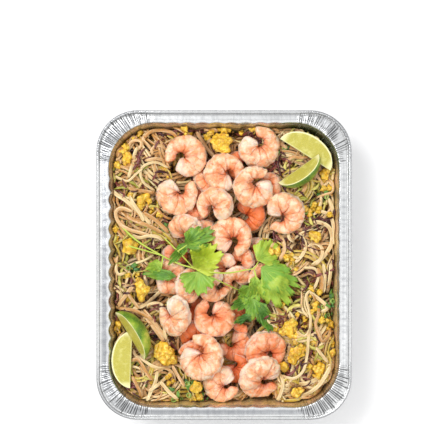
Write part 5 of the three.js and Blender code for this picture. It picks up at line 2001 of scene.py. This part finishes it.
    def _ring(self) -> Piece:
        """A short cut ring of onion stalk, about 1 mm across."""
        Bench.clear()
        bpy.ops.mesh.primitive_cylinder_add(
            vertices=14, radius=0.5 * MM, depth=0.55 * MM, end_fill_type="NOTHING"
        )
        ring = bpy.context.object
        Bench.modify(ring, "SOLIDIFY", thickness=0.13 * MM, offset=-1)
        Bench.modify(ring, "BEVEL", width=0.03 * MM, segments=1)
        return ring

    def _flakes(self) -> list[Piece]:
        """Curved strips of cut onion green, about 1 mm long."""
        flakes = []
        for kind, (breadth, bow) in enumerate(((0.42, 0.9), (0.3, 1.5), (0.55, 0.6))):
            flake = Bench.grid(f"flake_{kind}", 6, 3)
            flat = Bench.points(flake)
            across = (flat[:, 1] - 0.5) * breadth * (1 - 0.5 * (2 * flat[:, 0] - 1) ** 4)
            along = flat[:, 0] - 0.5
            height = -bow * along**2 + 0.9 * across**2 + 0.12 * np.sin(along * 9) * across
            Bench.move_points(flake, np.column_stack([along, across, height]) * MM)
            Bench.modify(flake, "SOLIDIFY", thickness=0.07 * MM, offset=0)
            flakes.append(flake)
        return flakes

    def _strew(self, name: str, models: Sequence[Piece], places: Sequence, tip: float) -> Piece:
        """Copies small models to their places as one mesh.

        Args:
            name: The piece's name.
            models: The models, about 1 mm across.
            places: The middle and size of each copy.
            tip: How far a copy may be tipped, in radians.

        Returns:
            The piece, with a tint for each copy.
        """
        shapes = [(Bench.points(m) / MM, [list(p.vertices) for p in m.data.polygons]) for m in models]
        for model in models:
            bpy.data.objects.remove(model)
        points, faces, tints, first = [], [], [], 0
        for middle, size in places:
            shape, shape_faces = shapes[self.rng.integers(len(shapes))]
            spin, tilt, lean = self.rng.uniform(-1, 1, 3) * [math.pi, tip, tip]
            (cz, sz), (cx, sx), (cy, sy) = ((math.cos(a), math.sin(a)) for a in (spin, tilt, lean))
            turn = np.array([[cz, -sz, 0], [sz, cz, 0], [0, 0, 1]])
            turn = turn @ np.array([[1, 0, 0], [0, cx, -sx], [0, sx, cx]])
            turn = turn @ np.array([[cy, 0, sy], [0, 1, 0], [-sy, 0, cy]])
            points.append(shape @ turn.T * size + middle)
            faces += [[first + i for i in face] for face in shape_faces]
            tints.append(np.full(len(shape), self.rng.uniform(0, 1)))
            first += len(shape)
        piece = Bench.from_faces(name, np.concatenate(points), faces)
        Bench.mark(piece, tint=np.concatenate(tints))
        return piece

    def _core(self, core: HeightMap) -> None:
        """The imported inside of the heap."""
        around, rows = 160, 46
        piece = Bench.grid("heap_core", around, rows)
        flat = Bench.points(piece)
        turn = flat[:, 0] * math.tau
        row = np.rint(flat[:, 1] * rows).astype(int)
        shoulder = 46.0
        low = row <= 2
        height = np.where(row == 0, 0.85, np.where(row == 1, 4.0, shoulder))
        scale = np.clip((rows - row) / (rows - 3), 0, 1) ** 0.85
        scale = np.where(row == 0, 0.97, np.where(low, 1.0, scale))
        x, y = np.zeros(len(flat)), np.zeros(len(flat))
        for level in (0.85, 4.0, shoulder):
            here = height == level
            far_x, far_y = 400 * np.cos(turn[here]), 460 * np.sin(turn[here])
            x[here], y[here] = self.shape.pulled_in(far_x, far_y, max(level, 3.0), 1.2)
        x, y = x * scale, y * scale
        top = core.at(x, y) - 0.8
        z = np.where(low, np.where(row == 2, np.minimum(top, shoulder), height), top)
        Bench.move_points(piece, np.column_stack([x, y, z]) * MM)
        self._within(piece, 2.2)
        Bench.weld(piece)
        bpy.ops.object.mode_set(mode="EDIT")
        bpy.ops.mesh.select_all(action="DESELECT")
        bpy.ops.mesh.select_mode(type="EDGE")
        bpy.ops.mesh.select_non_manifold()
        bpy.ops.mesh.fill()
        bpy.ops.object.mode_set(mode="OBJECT")
        Bench.mark(piece, tint=0.6)
        Bench.finish(piece, "noodles", PackedFinish().material(), "noodle_bed")


# ---- studio


@dataclass
class Studio:
    """A pale floor, soft light from the upper left and a camera straight above."""

    floor: FloorFinish = FloorFinish()
    camera_place: tuple[float, float, float] = (-0.0124, 0.0548, 1.464)
    lens: float = 115.1
    sky: float = 1.15
    horizon: float = 0.1
    key: float = 24.0
    fill: float = 6.0

    def build(self) -> None:
        """Sets the floor, the lights, the surroundings and the camera."""
        Bench.clear()
        bpy.ops.mesh.primitive_plane_add(size=8, location=(0, 0, 0))
        floor = bpy.context.object
        floor.name = "floor"
        floor.data.materials.append(self.floor.material())
        self._light("key", self.key, 0.9, (-0.95, 0.75, 1.9))
        self._light("fill", self.fill, 2.2, (1.4, -1.2, 1.8))
        bpy.context.scene.world = self._sky()
        bpy.context.scene.view_settings.view_transform = "Standard"
        lens = bpy.data.cameras.new("camera")
        lens.lens = self.lens
        lens.sensor_width = 36
        lens.clip_end = 20
        camera = bpy.data.objects.new("camera", lens)
        camera.location = self.camera_place
        bpy.context.scene.collection.objects.link(camera)
        bpy.context.scene.camera = camera

    def _sky(self) -> bpy.types.World:
        """White surroundings, darker towards the horizon."""
        paint = Paint("studio", "worlds", "Background")
        way = paint.node("TexCoord").outputs["Generated"]
        height = Value(paint, paint.node("SeparateXYZ", None, {0: way}).outputs["Z"])
        paint.feed(paint.shader.inputs["Color"], (1, 1, 1, 1))
        paint.feed(paint.shader.inputs["Strength"], height.between(0.0, 0.9, self.horizon, self.sky))
        return paint.material

    @staticmethod
    def _light(name: str, power: float, size: float, place: tuple[float, float, float]) -> None:
        """A square soft light turned towards the pan."""
        lamp = bpy.data.lights.new(name, "AREA")
        lamp.energy = power
        lamp.size = size
        light = bpy.data.objects.new(name, lamp)
        light.location = place
        aim = Vector((0, 0, 0.05)) - Vector(place)
        light.rotation_euler = aim.to_track_quat("-Z", "Y").to_euler()
        bpy.context.scene.collection.objects.link(light)


def main() -> None:
    """Builds the dish over its solids, piece by piece."""
    logging.basicConfig(level=logging.INFO, format="%(message)s")
    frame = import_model()
    nodes = frame["nodes"]
    Studio().build()
    toppings = [nodes[n] for n in sorted(nodes) if n.startswith(("shrimp", "egg", "lime"))]
    covered = HeightMap.seen([*toppings, nodes["noodle_bed"]], 0.0)
    FoilPan().build()
    NoodleBed().build(nodes, toppings)
    ShrimpPile().build(nodes)
    EggPieces().build(nodes)
    LimeWedges().build(nodes)
    CorianderSprigs().build(nodes, covered)


if __name__ == "__main__":
    main()
